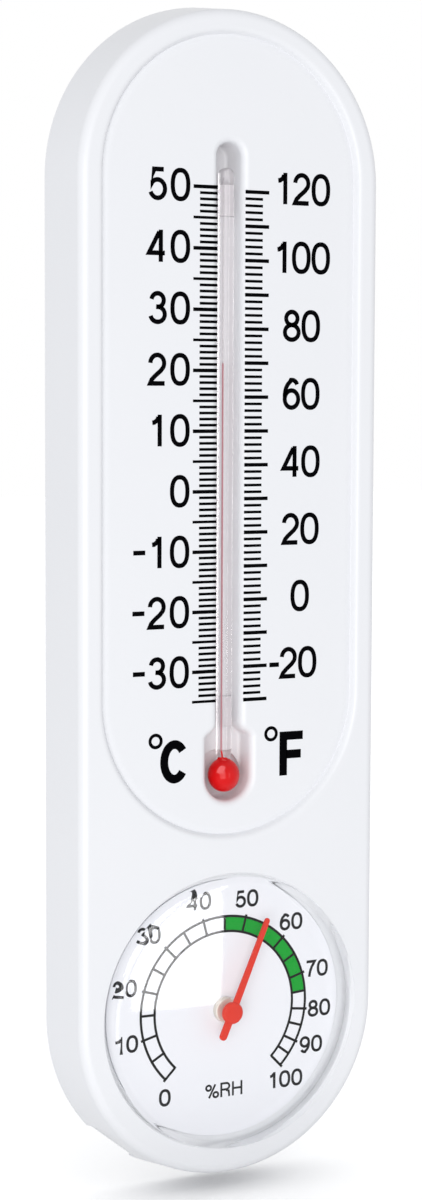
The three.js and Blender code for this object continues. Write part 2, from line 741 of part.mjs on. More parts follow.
// Arbor: carries the pointer and the collet, and ends in a pivot inside the stud
function pointerArbor() {
  const frontEnd = bladeBackY - hubThickness + hubFace + fitGap;
  const pivotEnd = colletBackY + pivotReach;
  return turned([
    [0, frontEnd], [arborRadius, frontEnd], [arborRadius, colletBackY],
    [pivotRadius, colletBackY], [pivotRadius, pivotEnd], [0, pivotEnd],
  ]);
}

function coilCollet() {
  const bore = arborRadius + runningGap;
  const front = colletBackY - colletLength;
  return turned([
    [bore, front], [colletRadius, front], [colletRadius, colletBackY], [bore, colletBackY], [bore, front],
  ]);
}

// Humidity coil: a strip wound into a flat spiral that ends beside the regulator's post
function coilLine() {
  const count = coilTurns * coilSteps;
  return Array.from({ length: count + 1 }, (_, i) => (
    around(coilStart + coilPitch * (i / coilSteps), 90 + 360 * (i / coilSteps))
  ));
}

function humidityCoil() {
  const line = coilLine().map(([x, z]) => new THREE.Vector2(x, z));
  const side = (offset) => line.map((point) => {
    const reach = point.length();
    return [point.x * ((reach + offset) / reach), point.y * ((reach + offset) / reach)];
  });
  const half = coilThickness / 2;
  return plate([...side(half), ...side(-half).reverse()], coilFrontY, coilBackY);
}

// The least gap between one turn of the coil and the next, measured on its points
function coilGap() {
  const line = coilLine().map(([x, z]) => new THREE.Vector2(x, z));
  let least = Infinity;
  line.forEach((point, i) => {
    for (let j = i + coilSteps / 2; j < line.length; j += 1) {
      least = Math.min(least, point.distanceTo(line[j]));
    }
  });
  return least - coilThickness;
}

// Regulator arm: a ring about the stud, an arm upwards and the post that holds the coil's end
function regulatorArm() {
  const flat = [regulatorFrontY, regulatorBackY];
  const half = regulatorArmWidth / 2;
  return cut(
    join(
      turned(straight(regulatorHubRadius, ...flat)),
      block(-half, half, ...flat, 0, postReach),
      turned(straight(half, ...flat), 0, postReach),
      turned(straight(postRadius, coilFrontY, regulatorBackY), 0, postReach),
    ),
    turned(straight(studRadius + fitGap, regulatorFrontY - overrun, regulatorBackY + overrun)),
  );
}

// Calibration stud: slotted head behind the bridge, flange in front of the arm, blind bearing
function calibrationStud() {
  const headFront = bridgeBackY + fitGap;
  const headBack = headFront + studHeadThickness;
  const bearing = pivotRadius + runningGap;
  const bearingEnd = colletBackY + pivotReach + fitGap;
  const body = turned([
    [bearing, studFlangeFrontY], [studFlangeRadius, studFlangeFrontY], [studFlangeRadius, studFlangeBackY],
    [studRadius, studFlangeBackY], [studRadius, headFront], [studHeadRadius, headFront],
    [studHeadRadius, headBack], [0, headBack], [0, bearingEnd], [bearing, bearingEnd],
    [bearing, studFlangeFrontY],
  ]);
  return body.subtract(block(
    -studHeadRadius - overrun, studHeadRadius + overrun, headBack - studSlotDepth, headBack + overrun,
    -studSlotWidth / 2, studSlotWidth / 2,
  ));
}

// Bridge: a strap with two legs and two feet behind the carrier
function movementBridge() {
  const half = bridgeWidth / 2;
  const footFront = carrierBackY + fitGap;
  const footBack = footFront + bridgeThickness;
  const end = bridgeHalfSpan + bridgeFoot;
  const legX = bridgeHalfSpan - bridgeThickness;
  const strap = block(-bridgeHalfSpan, bridgeHalfSpan, bridgeFrontY, bridgeBackY, -half, half);
  const legs = [
    block(-bridgeHalfSpan, -legX, footFront, bridgeBackY, -half, half),
    block(legX, bridgeHalfSpan, footFront, bridgeBackY, -half, half),
    block(-end, -legX, footFront, footBack, -half, half),
    block(legX, end, footFront, footBack, -half, half),
  ];
  const through = [footFront - overrun, bridgeBackY + overrun];
  return cut(
    join(strap, ...legs),
    turned(straight(studRadius + runningGap, bridgeFrontY - overrun, bridgeBackY + overrun)),
    ...[-1, 1].map((side) => turned(straight(clearanceRadius, ...through), side * footScrewX, 0)),
  );
}

// The whole instrument
const instrument = new THREE.Group();
piece(instrument, 'front_housing', frontHousing(), whitePlastic);
piece(instrument, 'rear_cover', rearCover(), backPlastic);
screwPlaces.forEach(([x, z], i) => {
  const body = screw(coverScrewHead, coverScrewReach);
  piece(instrument, `cover_screw_${i + 1}`, body, steel, [x, -counterboreDepth, z]);
});

const thermometer = new THREE.Group();
thermometer.position.set(0, tubeY, bulbHeight);
piece(thermometer, 'glass_tube', glassTube(), clearGlass);
piece(thermometer, 'bulb_liquid', bulbLiquid(), redLiquid);
const risingTop = threadTop - bulbHeight;
const risingFoot = risingTop - risingLength;
piece(thermometer, 'liquid_thread', thread(threadStart + fitGap, risingFoot - fitGap), redLiquid);
piece(thermometer, 'liquid_top', thread(risingFoot, risingTop), redLiquid);
piece(thermometer, 'upper_tube_pad', masticPad(), mastic, [0, 0, upperPadHeight - bulbHeight]);
piece(thermometer, 'lower_tube_pad', masticPad(), mastic, [0, 0, lowerPadHeight - bulbHeight]);
instrument.add(thermometer);

const hygrometer = new THREE.Group();
hygrometer.position.set(0, 0, dialHeight);
piece(hygrometer, 'hygrometer_lens', hygrometerLens(), clearPlastic);
piece(hygrometer, 'dial_plate', dialPlate(), dialWhite);
piece(hygrometer, 'dial_carrier', dialCarrier(), backPlastic);
piece(hygrometer, 'front_bushing', frontBushing(), brass);
piece(hygrometer, 'pointer', pointer(), pointerRed, [0, 0, 0], -restAngle);
piece(hygrometer, 'pointer_arbor', pointerArbor(), steel);
piece(hygrometer, 'coil_collet', coilCollet(), brass);
piece(hygrometer, 'humidity_coil', humidityCoil(), coilFoil);
piece(hygrometer, 'regulator_arm', regulatorArm(), brass);
piece(hygrometer, 'calibration_stud', calibrationStud(), brass);
piece(hygrometer, 'movement_bridge', movementBridge(), steel);
lugPlaces.forEach(([x, z], i) => {
  const body = screw(smallScrewHead, lugScrewReach);
  piece(hygrometer, `carrier_screw_${i + 1}`, body, steel, [x, carrierBackY + fitGap, z]);
});
[-1, 1].forEach((side, i) => {
  const seatY = carrierBackY + 2 * fitGap + bridgeThickness;
  const body = screw(smallScrewHead, bridgeScrewReach);
  piece(hygrometer, `bridge_screw_${i + 1}`, body, steel, [side * footScrewX, seatY, 0]);
});
instrument.add(hygrometer);

console.log(`least gap between the coil's turns: ${coilGap().toFixed(3)} mm`);

export default instrument;
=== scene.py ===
"""Looks of an outdoor thermo-hygrometer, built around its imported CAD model. Metres, +Z up, front to -Y."""
import math

import bmesh
import bpy
from mathutils import Matrix, Vector


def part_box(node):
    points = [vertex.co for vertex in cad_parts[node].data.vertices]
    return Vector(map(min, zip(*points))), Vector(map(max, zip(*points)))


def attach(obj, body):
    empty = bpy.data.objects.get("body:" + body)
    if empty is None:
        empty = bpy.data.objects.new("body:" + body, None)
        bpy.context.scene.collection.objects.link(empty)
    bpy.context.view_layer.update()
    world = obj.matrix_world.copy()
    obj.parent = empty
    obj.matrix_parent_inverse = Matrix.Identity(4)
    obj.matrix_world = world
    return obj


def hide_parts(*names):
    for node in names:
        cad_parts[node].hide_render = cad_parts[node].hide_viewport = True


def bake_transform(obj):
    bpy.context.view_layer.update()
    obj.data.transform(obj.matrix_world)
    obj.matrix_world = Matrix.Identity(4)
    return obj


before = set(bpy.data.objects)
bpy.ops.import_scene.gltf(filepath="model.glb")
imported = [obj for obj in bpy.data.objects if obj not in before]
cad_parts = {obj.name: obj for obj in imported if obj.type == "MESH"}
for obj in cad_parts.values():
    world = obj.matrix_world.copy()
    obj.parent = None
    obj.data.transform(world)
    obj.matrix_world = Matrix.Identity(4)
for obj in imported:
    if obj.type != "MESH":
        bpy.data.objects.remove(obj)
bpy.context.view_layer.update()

MM = 0.001

# Places read from the frame
housing_low, housing_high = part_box("front_housing")
dial_low, dial_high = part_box("dial_plate")
lens_low, lens_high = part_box("hygrometer_lens")
_, tube_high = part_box("glass_tube")
bushing_low, bushing_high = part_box("front_bushing")
pointer_low, pointer_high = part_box("pointer")
cover_low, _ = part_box("rear_cover")
rising_low, rising_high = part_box("liquid_top")
FRONT_Y = housing_low.y
BACK_HALF_WIDTH = housing_high.x
CAP_CENTRE = housing_high.z - BACK_HALF_WIDTH
DIAL_FACE_Y = dial_low.y
SHEET_MARGIN = 0.25 * MM
PRINT_RISE = 0.3 * MM
DIAL_RADIUS = dial_high.x + SHEET_MARGIN
DIAL_AXIS = Vector((0, 0, (dial_low.z + dial_high.z) / 2))
DIAL_CENTRE = DIAL_AXIS + Vector((0, 0, PRINT_RISE))    # of the lens and the printed ring

# Housing
FRONT_HALF_WIDTH = BACK_HALF_WIDTH - 2 * MM
WALL = 2 * MM
FRONT_EDGE_RADIUS = 2 * MM
BACK_EDGE_RADIUS = 0.5 * MM
COVER_RIM = 1.2 * MM
COVER_RIB_DEPTH = 1.6 * MM
FIT_GAP = 0.3 * MM
OVERRUN = 2 * MM    # by which a cutting body stands past what it cuts
LEDGE_Y = cover_low.y + COVER_RIB_DEPTH - FIT_GAP
PANEL_HALF_WIDTH = 28.3 * MM
PANEL_DEPTH = 1.2 * MM
PANEL_TOP = 110.3 * MM
PANEL_BOTTOM = -46.8 * MM
PANEL_WALL_MM = (
    (28.95, -0.5), (28.9, 0), (28.6, 0.02), (28.35, 0.07), (28.12, 0.16), (27.9, 0.33), (27.7, 0.62),
    (27.52, 1.02), (27.4, 1.35),
)    # half width and depth
DITCH_FOOT = 27.3 * MM
DITCH_CREST = 25.6 * MM
DITCH_DEPTH = 0.26 * MM
DITCH_STEPS = 14
PANEL_Y = FRONT_Y + PANEL_DEPTH
PANEL_BACK_Y = PANEL_Y + WALL
NOTCH_TURNS = (-128.5, -51.5)
NOTCH_WIDTH = 12 * MM
NOTCH_DEPTH = 0.9 * MM
COVER_BOSS_PLACES = [(side * x, z) for x, z in ((15 * MM, 94 * MM), (22 * MM, -42 * MM)) for side in (-1, 1)]
BOSS_RADIUS = 2.8 * MM
BOSS_BORE_RADIUS = 1.05 * MM
BOSS_BORE_DEPTH = 5 * MM
LENS_HOLE_EDGE = 0.25 * MM
SINK_MARKS_MM = ((-15.2, 93.1, 0.9), (14.9, 94.8, 0.9), (0.9, -46.8, 0.5))    # x, z, radius
SINK_DEPTH = 0.05 * MM
SINK_FLOOR_SHARE = 0.6

# Channel and bulb well
CHANNEL_HALF_WIDTH = 2.55 * MM
CHANNEL_TOP = 88.85 * MM
CHANNEL_DEPTH = 5 * MM
CHANNEL_WALL = 1.4 * MM
POCKET_DEPTH = 7 * MM
POCKET_FOOT = 83 * MM
WELL_RADIUS = 4.87 * MM
WELL_TOP = -25.95 * MM
WELL_DEPTH = 6.4 * MM
WELL_CORNER_RADIUS = 1.15 * MM
NECK_CORNER_RADIUS = 2.15 * MM
LIP_RADIUS = 1.45 * MM
CLEAR_OF_LIP = 1.01    # share of the lip's depth at which the plain wall starts, so that no two rings meet
FLOOR_RADIUS = 0.7 * MM
LEFT_SHIFT = 0.6 * MM    # by which the left wall stands further out
LEFT_SHIFT_IN_LIP = 0.4    # share of it where the lip begins
LEFT_SHIFT_RUN = 2 * MM
LEFT_SHIFT_FADE = 3 * MM

# Thermometer
ZERO_Z = 21.65 * MM
DEGREE = 1.17 * MM
TUBE_RADIUS = 1.55 * MM
TUBE_Y = PANEL_Y + 2.4 * MM
BULB_CENTRE = Vector((0, TUBE_Y, -34.45 * MM))
BULB_RADIUS = 3.18 * MM
BULB_STRETCH_SHARE = 1.06
NECK_RADIUS = 1.3 * MM
NECK_LENGTH = 0.2 * MM
FLARE_LENGTH = 1.2 * MM
FLARE_STEPS = 6
TIP_HEIGHT = 1.3 * MM
BORE_SET_BACK = 0.7 * MM
BORE_RADIUS = 0.095 * MM
BORE_FOOT = 5 * MM
BORE_TIP_GAP = 0.6 * MM
POOL_RADIUS = 3.1 * MM
POOL_NECK_RADIUS = 0.75 * MM
POOL_CREST_MM = ((0.66, 3.35), (0.6, 3.56), (0.54, 3.58), (0.46, 3.35), (0.3, 2.85), (0.12, 2.8), (0.11, 4.7))
POOL_TOP = 4.9 * MM
LIQUID_RADIUS = 0.115 * MM
LIQUID_FOOT = 4.5 * MM
LIQUID_STRETCHES = 40
LIQUID_TIP = 0.1 * MM

# Lens, measured from the dial's axis
LENS_RADIUS = 27.1 * MM
LENS_WALL = 1.2 * MM
LENS_SHOULDER = 1.5 * MM
LENS_CROWN = 1.4 * MM
FLANGE_RADIUS = lens_high.x - 0.3 * MM
FLANGE_THICKNESS = 1 * MM
FLANGE_FRONT_Y = FRONT_Y + WALL + FIT_GAP

# Pointer
POINTER_DEGREES = 66.6
HUB_RADIUS = 2.2 * MM
HUB_THICKNESS = pointer_high.y - pointer_low.y
BLADE_THICKNESS = 0.5 * MM
POINTER_TIP = 19.9 * MM
POINTER_TAIL = 5.75 * MM
BLADE_ROOT_WIDTH = 1.4 * MM
BLADE_TIP_WIDTH = 1.05 * MM
TAIL_WIDTH = 1.6 * MM
BLADE_EDGE = 0.12 * MM
HUB_EDGE_RADIUS = 0.5 * MM

# Bushing
BUSHING_EDGE_RADIUS = 0.3 * MM
BUSHING_BORE_RADIUS = 0.75 * MM
BARREL_RADIUS = 1.3 * MM

# Print
INK = 0.02 * MM
SINK_IN = 0.01 * MM


def smooth_share(t):
    """Share that starts and ends level."""
    return t * t * (3 - 2 * t)


def limited(share):
    return min(1, max(0, share))


def around(reach, degrees):
    angle = math.radians(degrees)
    return reach * math.cos(angle), reach * math.sin(angle)


def outside_at(y):
    """Half width of the drafted side wall at a depth."""
    return BACK_HALF_WIDTH + (FRONT_HALF_WIDTH - BACK_HALF_WIDTH) * (y / FRONT_Y)


# Mesh helpers
def new_object(name, vertices, faces):
    mesh = bpy.data.meshes.new(name)
    mesh.from_pydata([tuple(v) for v in vertices], [], faces)
    work = bmesh.new()
    work.from_mesh(mesh)
    bmesh.ops.recalc_face_normals(work, faces=work.faces)
    work.to_mesh(mesh)
    work.free()
    piece = bpy.data.objects.new(name, mesh)
    bpy.context.scene.collection.objects.link(piece)
    return piece


def loft(name, rings):
    """Closed body through rings of points, all with the same count, with flat ends."""
    count = len(rings[0])
    vertices = [point for ring in rings for point in ring]
    faces = [tuple(range(count)), tuple(range(len(vertices) - count, len(vertices)))]
    for r in range(len(rings) - 1):
        a, b = r * count, (r + 1) * count
        faces += [(a + i, a + (i + 1) % count, b + (i + 1) % count, b + i) for i in range(count)]
    return new_object(name, vertices, faces)


def outline(arcs, offset):
    """Points of an outline of arcs in the XZ plane, grown by an offset."""
    points = []
    for x, z, radius, start, end, steps, inward in arcs:
        reach = radius - offset if inward else radius + offset
        for i in range(steps + 1):
            dx, dz = around(reach, start + (end - start) * i / steps)
            points.append((x + dx, z + dz))
    return points


def stacked(name, arcs, rings):
    """Closed body through outlines stacked along Y, each ring given as (offset, y)."""
    return loft(name, [[(x, y, z) for x, z in outline(arcs, offset)] for offset, y in rings])


def stadium(radius, top, bottom, steps=72):
    return [(0, top, radius, 0, 180, steps, False), (0, bottom, radius, 180, 360, steps, False)]


def lathe(name, profile, centre=(0, 0, 0), axis="Y", *, steps):
    """Body turned about an axis through a point, from a profile of (radius, place along the axis)."""
    vertices, rings = [], []
    for radius, along in profile:
        start = len(vertices)
        count = 1 if radius < 1e-9 else steps
        for i in range(count):
            a, b = around(radius, 360 * i / steps)
            point = (a, along, b) if axis == "Y" else (a, b, along)
            vertices.append(Vector(point) + Vector(centre))
        rings.append(range(start, start + count))
    faces = []
    for lower, upper in zip(rings, rings[1:]):
        for i in range(steps):
            j = (i + 1) % steps
            corners = [ring[k % len(ring)] for ring, k in ((lower, i), (lower, j), (upper, j), (upper, i))]
            corners = list(dict.fromkeys(corners))
            if len(corners) > 2:
                faces.append(corners)
    return new_object(name, vertices, faces)


def quarter_round(radius, steps=8):
    """Quarter round as (across, along) pairs, from the side tangent to the face tangent."""
    pairs = []
    for i in range(steps + 1):
        along, across = around(radius, 90 * i / steps)
        pairs.append((radius - along, radius - across))
    return pairs


def applied(piece):
    """Makes a piece's modifiers part of its mesh."""
    graph = bpy.context.evaluated_depsgraph_get()
    mesh = bpy.data.meshes.new_from_object(piece.evaluated_get(graph))
    piece.modifiers.clear()
    piece.data = mesh
    return piece


def carve(piece, tool, how="DIFFERENCE"):
    """Cuts or joins a body and uses it up."""
    change = piece.modifiers.new(how.title(), "BOOLEAN")
    change.operation = how
    change.object = tool
    change.solver = "EXACT"
    applied(piece)
    bpy.data.objects.remove(tool)
    return piece


def smooth(piece, degrees=30):
    """Shades smooth over edges flatter than an angle, with flat faces left flat."""
    piece.data.shade_smooth()
    piece.data.set_sharp_from_angle(angle=math.radians(degrees))
    weighted = piece.modifiers.new("Face weighted normals", "WEIGHTED_NORMAL")
    weighted.keep_sharp = True
    return piece


# Materials
def material(name, colour, roughness, **sockets):
    """Principled material; returns it with its node tree and shader."""
    made = bpy.data.materials.new(name)
    made.use_nodes = True
    shader = made.node_tree.nodes["Principled BSDF"]
    shader.inputs["Base Color"].default_value = (*colour, 1)
    shader.inputs["Roughness"].default_value = roughness
    for socket, value in sockets.items():
        shader.inputs[socket.replace("_", " ")].default_value = value
    return made, made.node_tree, shader


def link(tree, source, target):
    tree.links.new(source, target)


def noise(tree, scale, detail=3.0):
    """Noise in the object's own metres."""
    place = tree.nodes.new("ShaderNodeTexCoord")
    node = tree.nodes.new("ShaderNodeTexNoise")
    node.inputs["Scale"].default_value = scale
    node.inputs["Detail"].default_value = detail
    link(tree, place.outputs["Object"], node.inputs["Vector"])
    return node.outputs["Fac"]


def ranged(tree, value, low, high):
    node = tree.nodes.new("ShaderNodeMapRange")
    node.inputs["To Min"].default_value = low
    node.inputs["To Max"].default_value = high
    link(tree, value, node.inputs["Value"])
    return node.outputs["Result"]


def mottled(tree, shader, colour, other, scale):
    """Colour that drifts softly between two tones."""
    mix = tree.nodes.new("ShaderNodeMix")
    mix.data_type = "RGBA"
    mix.inputs["A"].default_value = (*colour, 1)
    mix.inputs["B"].default_value = (*other, 1)
    link(tree, ranged(tree, noise(tree, scale), 0, 1), mix.inputs["Factor"])
    link(tree, mix.outputs["Result"], shader.inputs["Base Color"])
    return mix.outputs["Result"]


# Painted shade in the tube's channel: a darker colour mixed in by depth, standing in for the shade in the recess
GROOVE_SHADE_COLOUR = (0.755, 0.745, 0.762)
GROOVE_SHADE_SPANS = (
    ("Y", PANEL_Y + 1.3 * MM, PANEL_Y + 3.8 * MM), ("X", -9 * MM, -8 * MM), ("X", 9 * MM, 8 * MM),
    ("Z", 96 * MM, 95 * MM), ("Z", -39.5 * MM, -34 * MM),
)    # axis, where the painted shade starts, where it is full


def soiled_groove(tree, shader, colour):
    """Painted shade: a darker base colour that deepens towards the floor of the tube's channel."""
    place = tree.nodes.new("ShaderNodeTexCoord")
    parts = tree.nodes.new("ShaderNodeSeparateXYZ")
    link(tree, place.outputs["Object"], parts.inputs["Vector"])
    share = None
    for axis, start, end in GROOVE_SHADE_SPANS:
        step = tree.nodes.new("ShaderNodeMapRange")
        step.inputs["From Min"].default_value = start
        step.inputs["From Max"].default_value = end
        link(tree, parts.outputs[axis], step.inputs["Value"])
        if share is None:
            share = step.outputs["Result"]
        else:
            both = tree.nodes.new("ShaderNodeMath")
            both.operation = "MULTIPLY"
            link(tree, share, both.inputs[0])
            link(tree, step.outputs["Result"], both.inputs[1])
            share = both.outputs["Value"]
    groove_shade_mix = tree.nodes.new("ShaderNodeMix")
    groove_shade_mix.data_type = "RGBA"
    groove_shade_mix.inputs["B"].default_value = (*GROOVE_SHADE_COLOUR, 1)
    link(tree, share, groove_shade_mix.inputs["Factor"])
    link(tree, colour, groove_shade_mix.inputs["A"])
    link(tree, groove_shade_mix.outputs["Result"], shader.inputs["Base Color"])


def rough_between(tree, shader, scale, low, high):
    link(tree, ranged(tree, noise(tree, scale, detail=4.0), low, high), shader.inputs["Roughness"])


def bumped(tree, shader, height, depth, strength):
    node = tree.nodes.new("ShaderNodeBump")
    node.inputs["Distance"].default_value = depth
    node.inputs["Strength"].default_value = strength
    link(tree, height, node.inputs["Height"])
    link(tree, node.outputs["Normal"], shader.inputs["Normal"])


def glossy_plastic(name, colour, other, low, high, with_groove_shade=False):
    """Injection-moulded plastic: faint flow marks, a fine orange peel and uneven gloss, with painted shade in the
    tube's channel when asked.
    """
    made, tree, shader = material(name, colour, low, IOR=1.5)
    shade = mottled(tree, shader, colour, other, scale=45)
    if with_groove_shade:
        # painted shade in the channel's recess
        soiled_groove(tree, shader, shade)
    rough_between(tree, shader, 90, low, high)
    bumped(tree, shader, noise(tree, 900, detail=2.0), depth=0.012 * MM, strength=0.5)
    return made


def any_ray(tree, *kinds):
    """1 for rays of any of the named kinds."""
    path = tree.nodes.new("ShaderNodeLightPath")
    value = path.outputs[f"Is {kinds[0]} Ray"]
    for kind in kinds[1:]:
        either = tree.nodes.new("ShaderNodeMath")
        either.operation = "MAXIMUM"
        link(tree, value, either.inputs[0])
        link(tree, path.outputs[f"Is {kind} Ray"], either.inputs[1])
        value = either.outputs["Value"]
    return value


def glass_material(colour, ior):
    """Clear glass that lets lamps and diffuse light through to what is behind it."""
    made, tree, shader = material("clear glass", colour, 0.0, IOR=ior, Transmission_Weight=1.0)
    through = tree.nodes.new("ShaderNodeBsdfTransparent")
    mix = tree.nodes.new("ShaderNodeMixShader")
    link(tree, any_ray(tree, "Shadow", "Diffuse"), mix.inputs["Fac"])
    link(tree, shader.outputs["BSDF"], mix.inputs[1])
    link(tree, through.outputs["BSDF"], mix.inputs[2])
    link(tree, mix.outputs["Shader"], tree.nodes["Material Output"].inputs["Surface"])
    return made


FILM_EDGE_SHARE = 0.2
FILM_ROUGHNESS = 0.04
SCHLICK_POWER = 5.0


def lens_plastic(name, ior, film_share):
    """Thin polished plastic: a mirror film that strengthens at the edges, over a clear wall."""
    made, tree, shader = material(name, (1.0, 1.0, 1.0), 0.0)
    tree.nodes.remove(shader)
    clear = tree.nodes.new("ShaderNodeBsdfTransparent")
    clear.inputs["Color"].default_value = (0.996, 0.997, 0.998, 1)
    wall = clear
    if ior > 1:
        wall = tree.nodes.new("ShaderNodeBsdfRefraction")
        wall.inputs["IOR"].default_value = ior
        wall.inputs["Roughness"].default_value = 0.0
    mirror = tree.nodes.new("ShaderNodeBsdfGlossy")
    mirror.inputs["Roughness"].default_value = FILM_ROUGHNESS
    edge = tree.nodes.new("ShaderNodeLayerWeight")
    power = tree.nodes.new("ShaderNodeMath")
    power.operation = "POWER"
    power.inputs[1].default_value = SCHLICK_POWER
    link(tree, edge.outputs["Facing"], power.inputs[0])
    film = tree.nodes.new("ShaderNodeMixShader")
    link(tree, ranged(tree, power.outputs["Value"], film_share, FILM_EDGE_SHARE), film.inputs["Fac"])
    link(tree, wall.outputs["BSDF"], film.inputs[1])
    link(tree, mirror.outputs["BSDF"], film.inputs[2])
    outer = tree.nodes.new("ShaderNodeMixShader")
    link(tree, any_ray(tree, "Shadow", "Diffuse"), outer.inputs["Fac"])
    link(tree, film.outputs["Shader"], outer.inputs[1])
    link(tree, clear.outputs["BSDF"], outer.inputs[2])
    link(tree, outer.outputs["Shader"], tree.nodes["Material Output"].inputs["Surface"])
    return made


def metal(name, colour, low, high, grain, metallic=1.0):
    """Turned or plated metal with fine machining marks."""
    made, tree, shader = material(name, colour, low, Metallic=metallic)
    rough_between(tree, shader, grain, low, high)
    bumped(tree, shader, noise(tree, grain * 3, detail=2.0), depth=0.01 * MM, strength=0.4)
    return made


def ink(name, colour):
    """Printed ink: slightly uneven film."""
    made, tree, shader = material(name, colour, 0.5, Specular_IOR_Level=0.0)
    mottled(tree, shader, colour, tuple(c * 1.25 + 0.0005 for c in colour), scale=1500)
    bumped(tree, shader, noise(tree, 4000, detail=2.0), depth=0.004 * MM, strength=0.5)
    return made


# the housing's plastic carries painted shade in its channel
white_plastic = glossy_plastic(
    "white plastic", (0.865, 0.872, 0.895), (0.845, 0.853, 0.88), 0.30, 0.38, with_groove_shade=True,
)
frosted_plastic = glossy_plastic("frosted plastic", (0.86, 0.865, 0.885), (0.84, 0.85, 0.87), 0.5, 0.6)
back_plastic = glossy_plastic("satin plastic", (0.84, 0.845, 0.86), (0.82, 0.825, 0.845), 0.42, 0.5)
dial_white = glossy_plastic("dial sheet", (0.905, 0.908, 0.945), (0.89, 0.895, 0.935), 0.4, 0.48)
clear_glass = glass_material((0.92, 0.895, 0.903), ior=1.3)
clear_plastic = lens_plastic("clear plastic", ior=1.0, film_share=0.02)
shoulder_plastic = lens_plastic("clear plastic shoulder", ior=1.1, film_share=0.045)
black_ink = ink("black ink", (0.002, 0.002, 0.0025))
grey_ink = ink("dark grey ink", (0.007, 0.007, 0.009))
green_ink = ink("green ink", (0.0, 0.31, 0.023))
brass = metal("turned brass", (0.86, 0.80, 0.70), 0.3, 0.42, grain=700)
tinned_brass = metal("tinned brass", (0.74, 0.70, 0.63), 0.4, 0.5, grain=700, metallic=0.5)
steel = metal("zinc-plated steel", (0.66, 0.67, 0.69), 0.25, 0.4, grain=600)


def red_liquid_material():
    """Dyed liquid, evenly bright, with a faint drift of depth."""
    made, tree, shader = material("red liquid", (0.78, 0.003, 0.004), 0.3, Specular_IOR_Level=0.0)
    mottled(tree, shader, (0.80, 0.003, 0.004), (0.66, 0.002, 0.003), scale=260)
    return made


def red_lacquer_material():
    made, tree, shader = material("red lacquer", (0.76, 0.028, 0.008), 0.4, Specular_IOR_Level=0.2)
    mottled(tree, shader, (0.78, 0.030, 0.009), (0.72, 0.024, 0.007), scale=400)
    rough_between(tree, shader, 600, 0.3, 0.42)
    bumped(tree, shader, noise(tree, 2500, detail=2.0), depth=0.006 * MM, strength=0.5)
    return made


def mastic_material():
    made, tree, shader = material("mastic", (0.66, 0.64, 0.66), 0.6)
    mottled(tree, shader, (0.67, 0.65, 0.67), (0.63, 0.61, 0.63), scale=500)
    bumped(tree, shader, noise(tree, 1200), depth=0.08 * MM, strength=0.6)
    return made


def foil_material():
    """Humidity-sensitive strip: coated foil with fine lengthwise streaks."""
    made, tree, shader = material("coated strip", (0.55, 0.43, 0.26), 0.5)
    mottled(tree, shader, (0.58, 0.46, 0.28), (0.46, 0.35, 0.2), scale=900)
    rough_between(tree, shader, 1500, 0.42, 0.6)
    return made


def thin_liquid_material():
    """The fine thread of liquid, pale because it is so thin."""
    made, tree, shader = material("thin red liquid", (0.58, 0.25, 0.28), 0.3, Specular_IOR_Level=0.0)
    mottled(tree, shader, (0.60, 0.24, 0.27), (0.54, 0.29, 0.32), scale=1200)
    return made


red_liquid = red_liquid_material()
thin_liquid = thin_liquid_material()
red_lacquer = red_lacquer_material()
mastic = mastic_material()
foil = foil_material()


def finish(piece, look, body="housing", replaced=()):
    """Gives a piece its material and body, and hides the CAD parts it replaces."""
    piece.data.materials.clear()
    piece.data.materials.append(look)
    if body:
        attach(piece, body)
    if replaced:
        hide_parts(*replaced)
    return piece


# Housing
def channel_arcs():
    """Channel and bulb well as one outline."""
    neck_x = CHANNEL_HALF_WIDTH + NECK_CORNER_RADIUS
    neck_z = WELL_TOP + NECK_CORNER_RADIUS
    shoulder_x = WELL_RADIUS - WELL_CORNER_RADIUS
    shoulder_z = WELL_TOP - WELL_CORNER_RADIUS
    top_z = CHANNEL_TOP - CHANNEL_HALF_WIDTH
    return [
        (0, top_z, CHANNEL_HALF_WIDTH, 0, 180, 48, False),
        (-neck_x, neck_z, NECK_CORNER_RADIUS, 0, -60, 12, True),
        (-shoulder_x, shoulder_z, WELL_CORNER_RADIUS, 120, 180, 12, False),
        (0, BULB_CENTRE.z, WELL_RADIUS, 180, 360, 64, False),
        (shoulder_x, shoulder_z, WELL_CORNER_RADIUS, 0, 60, 12, False),
        (neck_x, neck_z, NECK_CORNER_RADIUS, 240, 180, 12, True),
    ]


def pit_rings(top_y, floor_y):
    """Rings of a hollow whose floor meets its wall in a fillet."""
    fillet = [(-across, floor_y - along) for across, along in quarter_round(FLOOR_RADIUS, steps=4)]
    return [(0, top_y)] + fillet


def pry_flat(turn):
    x, z = around(BACK_HALF_WIDTH - NOTCH_DEPTH + OVERRUN, turn)
    half = Vector((OVERRUN, 2 * BACK_HALF_WIDTH, NOTCH_WIDTH / 2))
    corners = [Vector((a * half.x, b * half.y, c * half.z)) for a in (-1, 1) for b in (-1, 1) for c in (-1, 1)]
    turned = Matrix.Rotation(-math.radians(turn), 3, "Y")
    placed = [turned @ corner + Vector((x, 0, z - CAP_CENTRE)) for corner in corners]
    faces = [(0, 1, 3, 2), (4, 6, 7, 5), (0, 4, 5, 1), (2, 3, 7, 6), (0, 2, 6, 4), (1, 5, 7, 3)]
    return new_object("pry flat", placed, faces)


def steeper_left(groove):
    """Moves the channel's left wall out, so that its lip is narrower than the right one."""
    for vertex in groove.data.vertices:
        place = vertex.co
        down = limited((place.y - PANEL_Y) / LIP_RADIUS)
        if place.x < 0 < down:
            in_lip = LEFT_SHIFT_IN_LIP + (1 - LEFT_SHIFT_IN_LIP) * (1 - math.sqrt(1 - down ** 2))
            off_centre = limited(-place.x / LEFT_SHIFT_RUN)
            above_well = smooth_share(limited((place.z - WELL_TOP - NECK_CORNER_RADIUS) / LEFT_SHIFT_FADE))
            place.x -= LEFT_SHIFT * off_centre * in_lip * above_well
    return groove


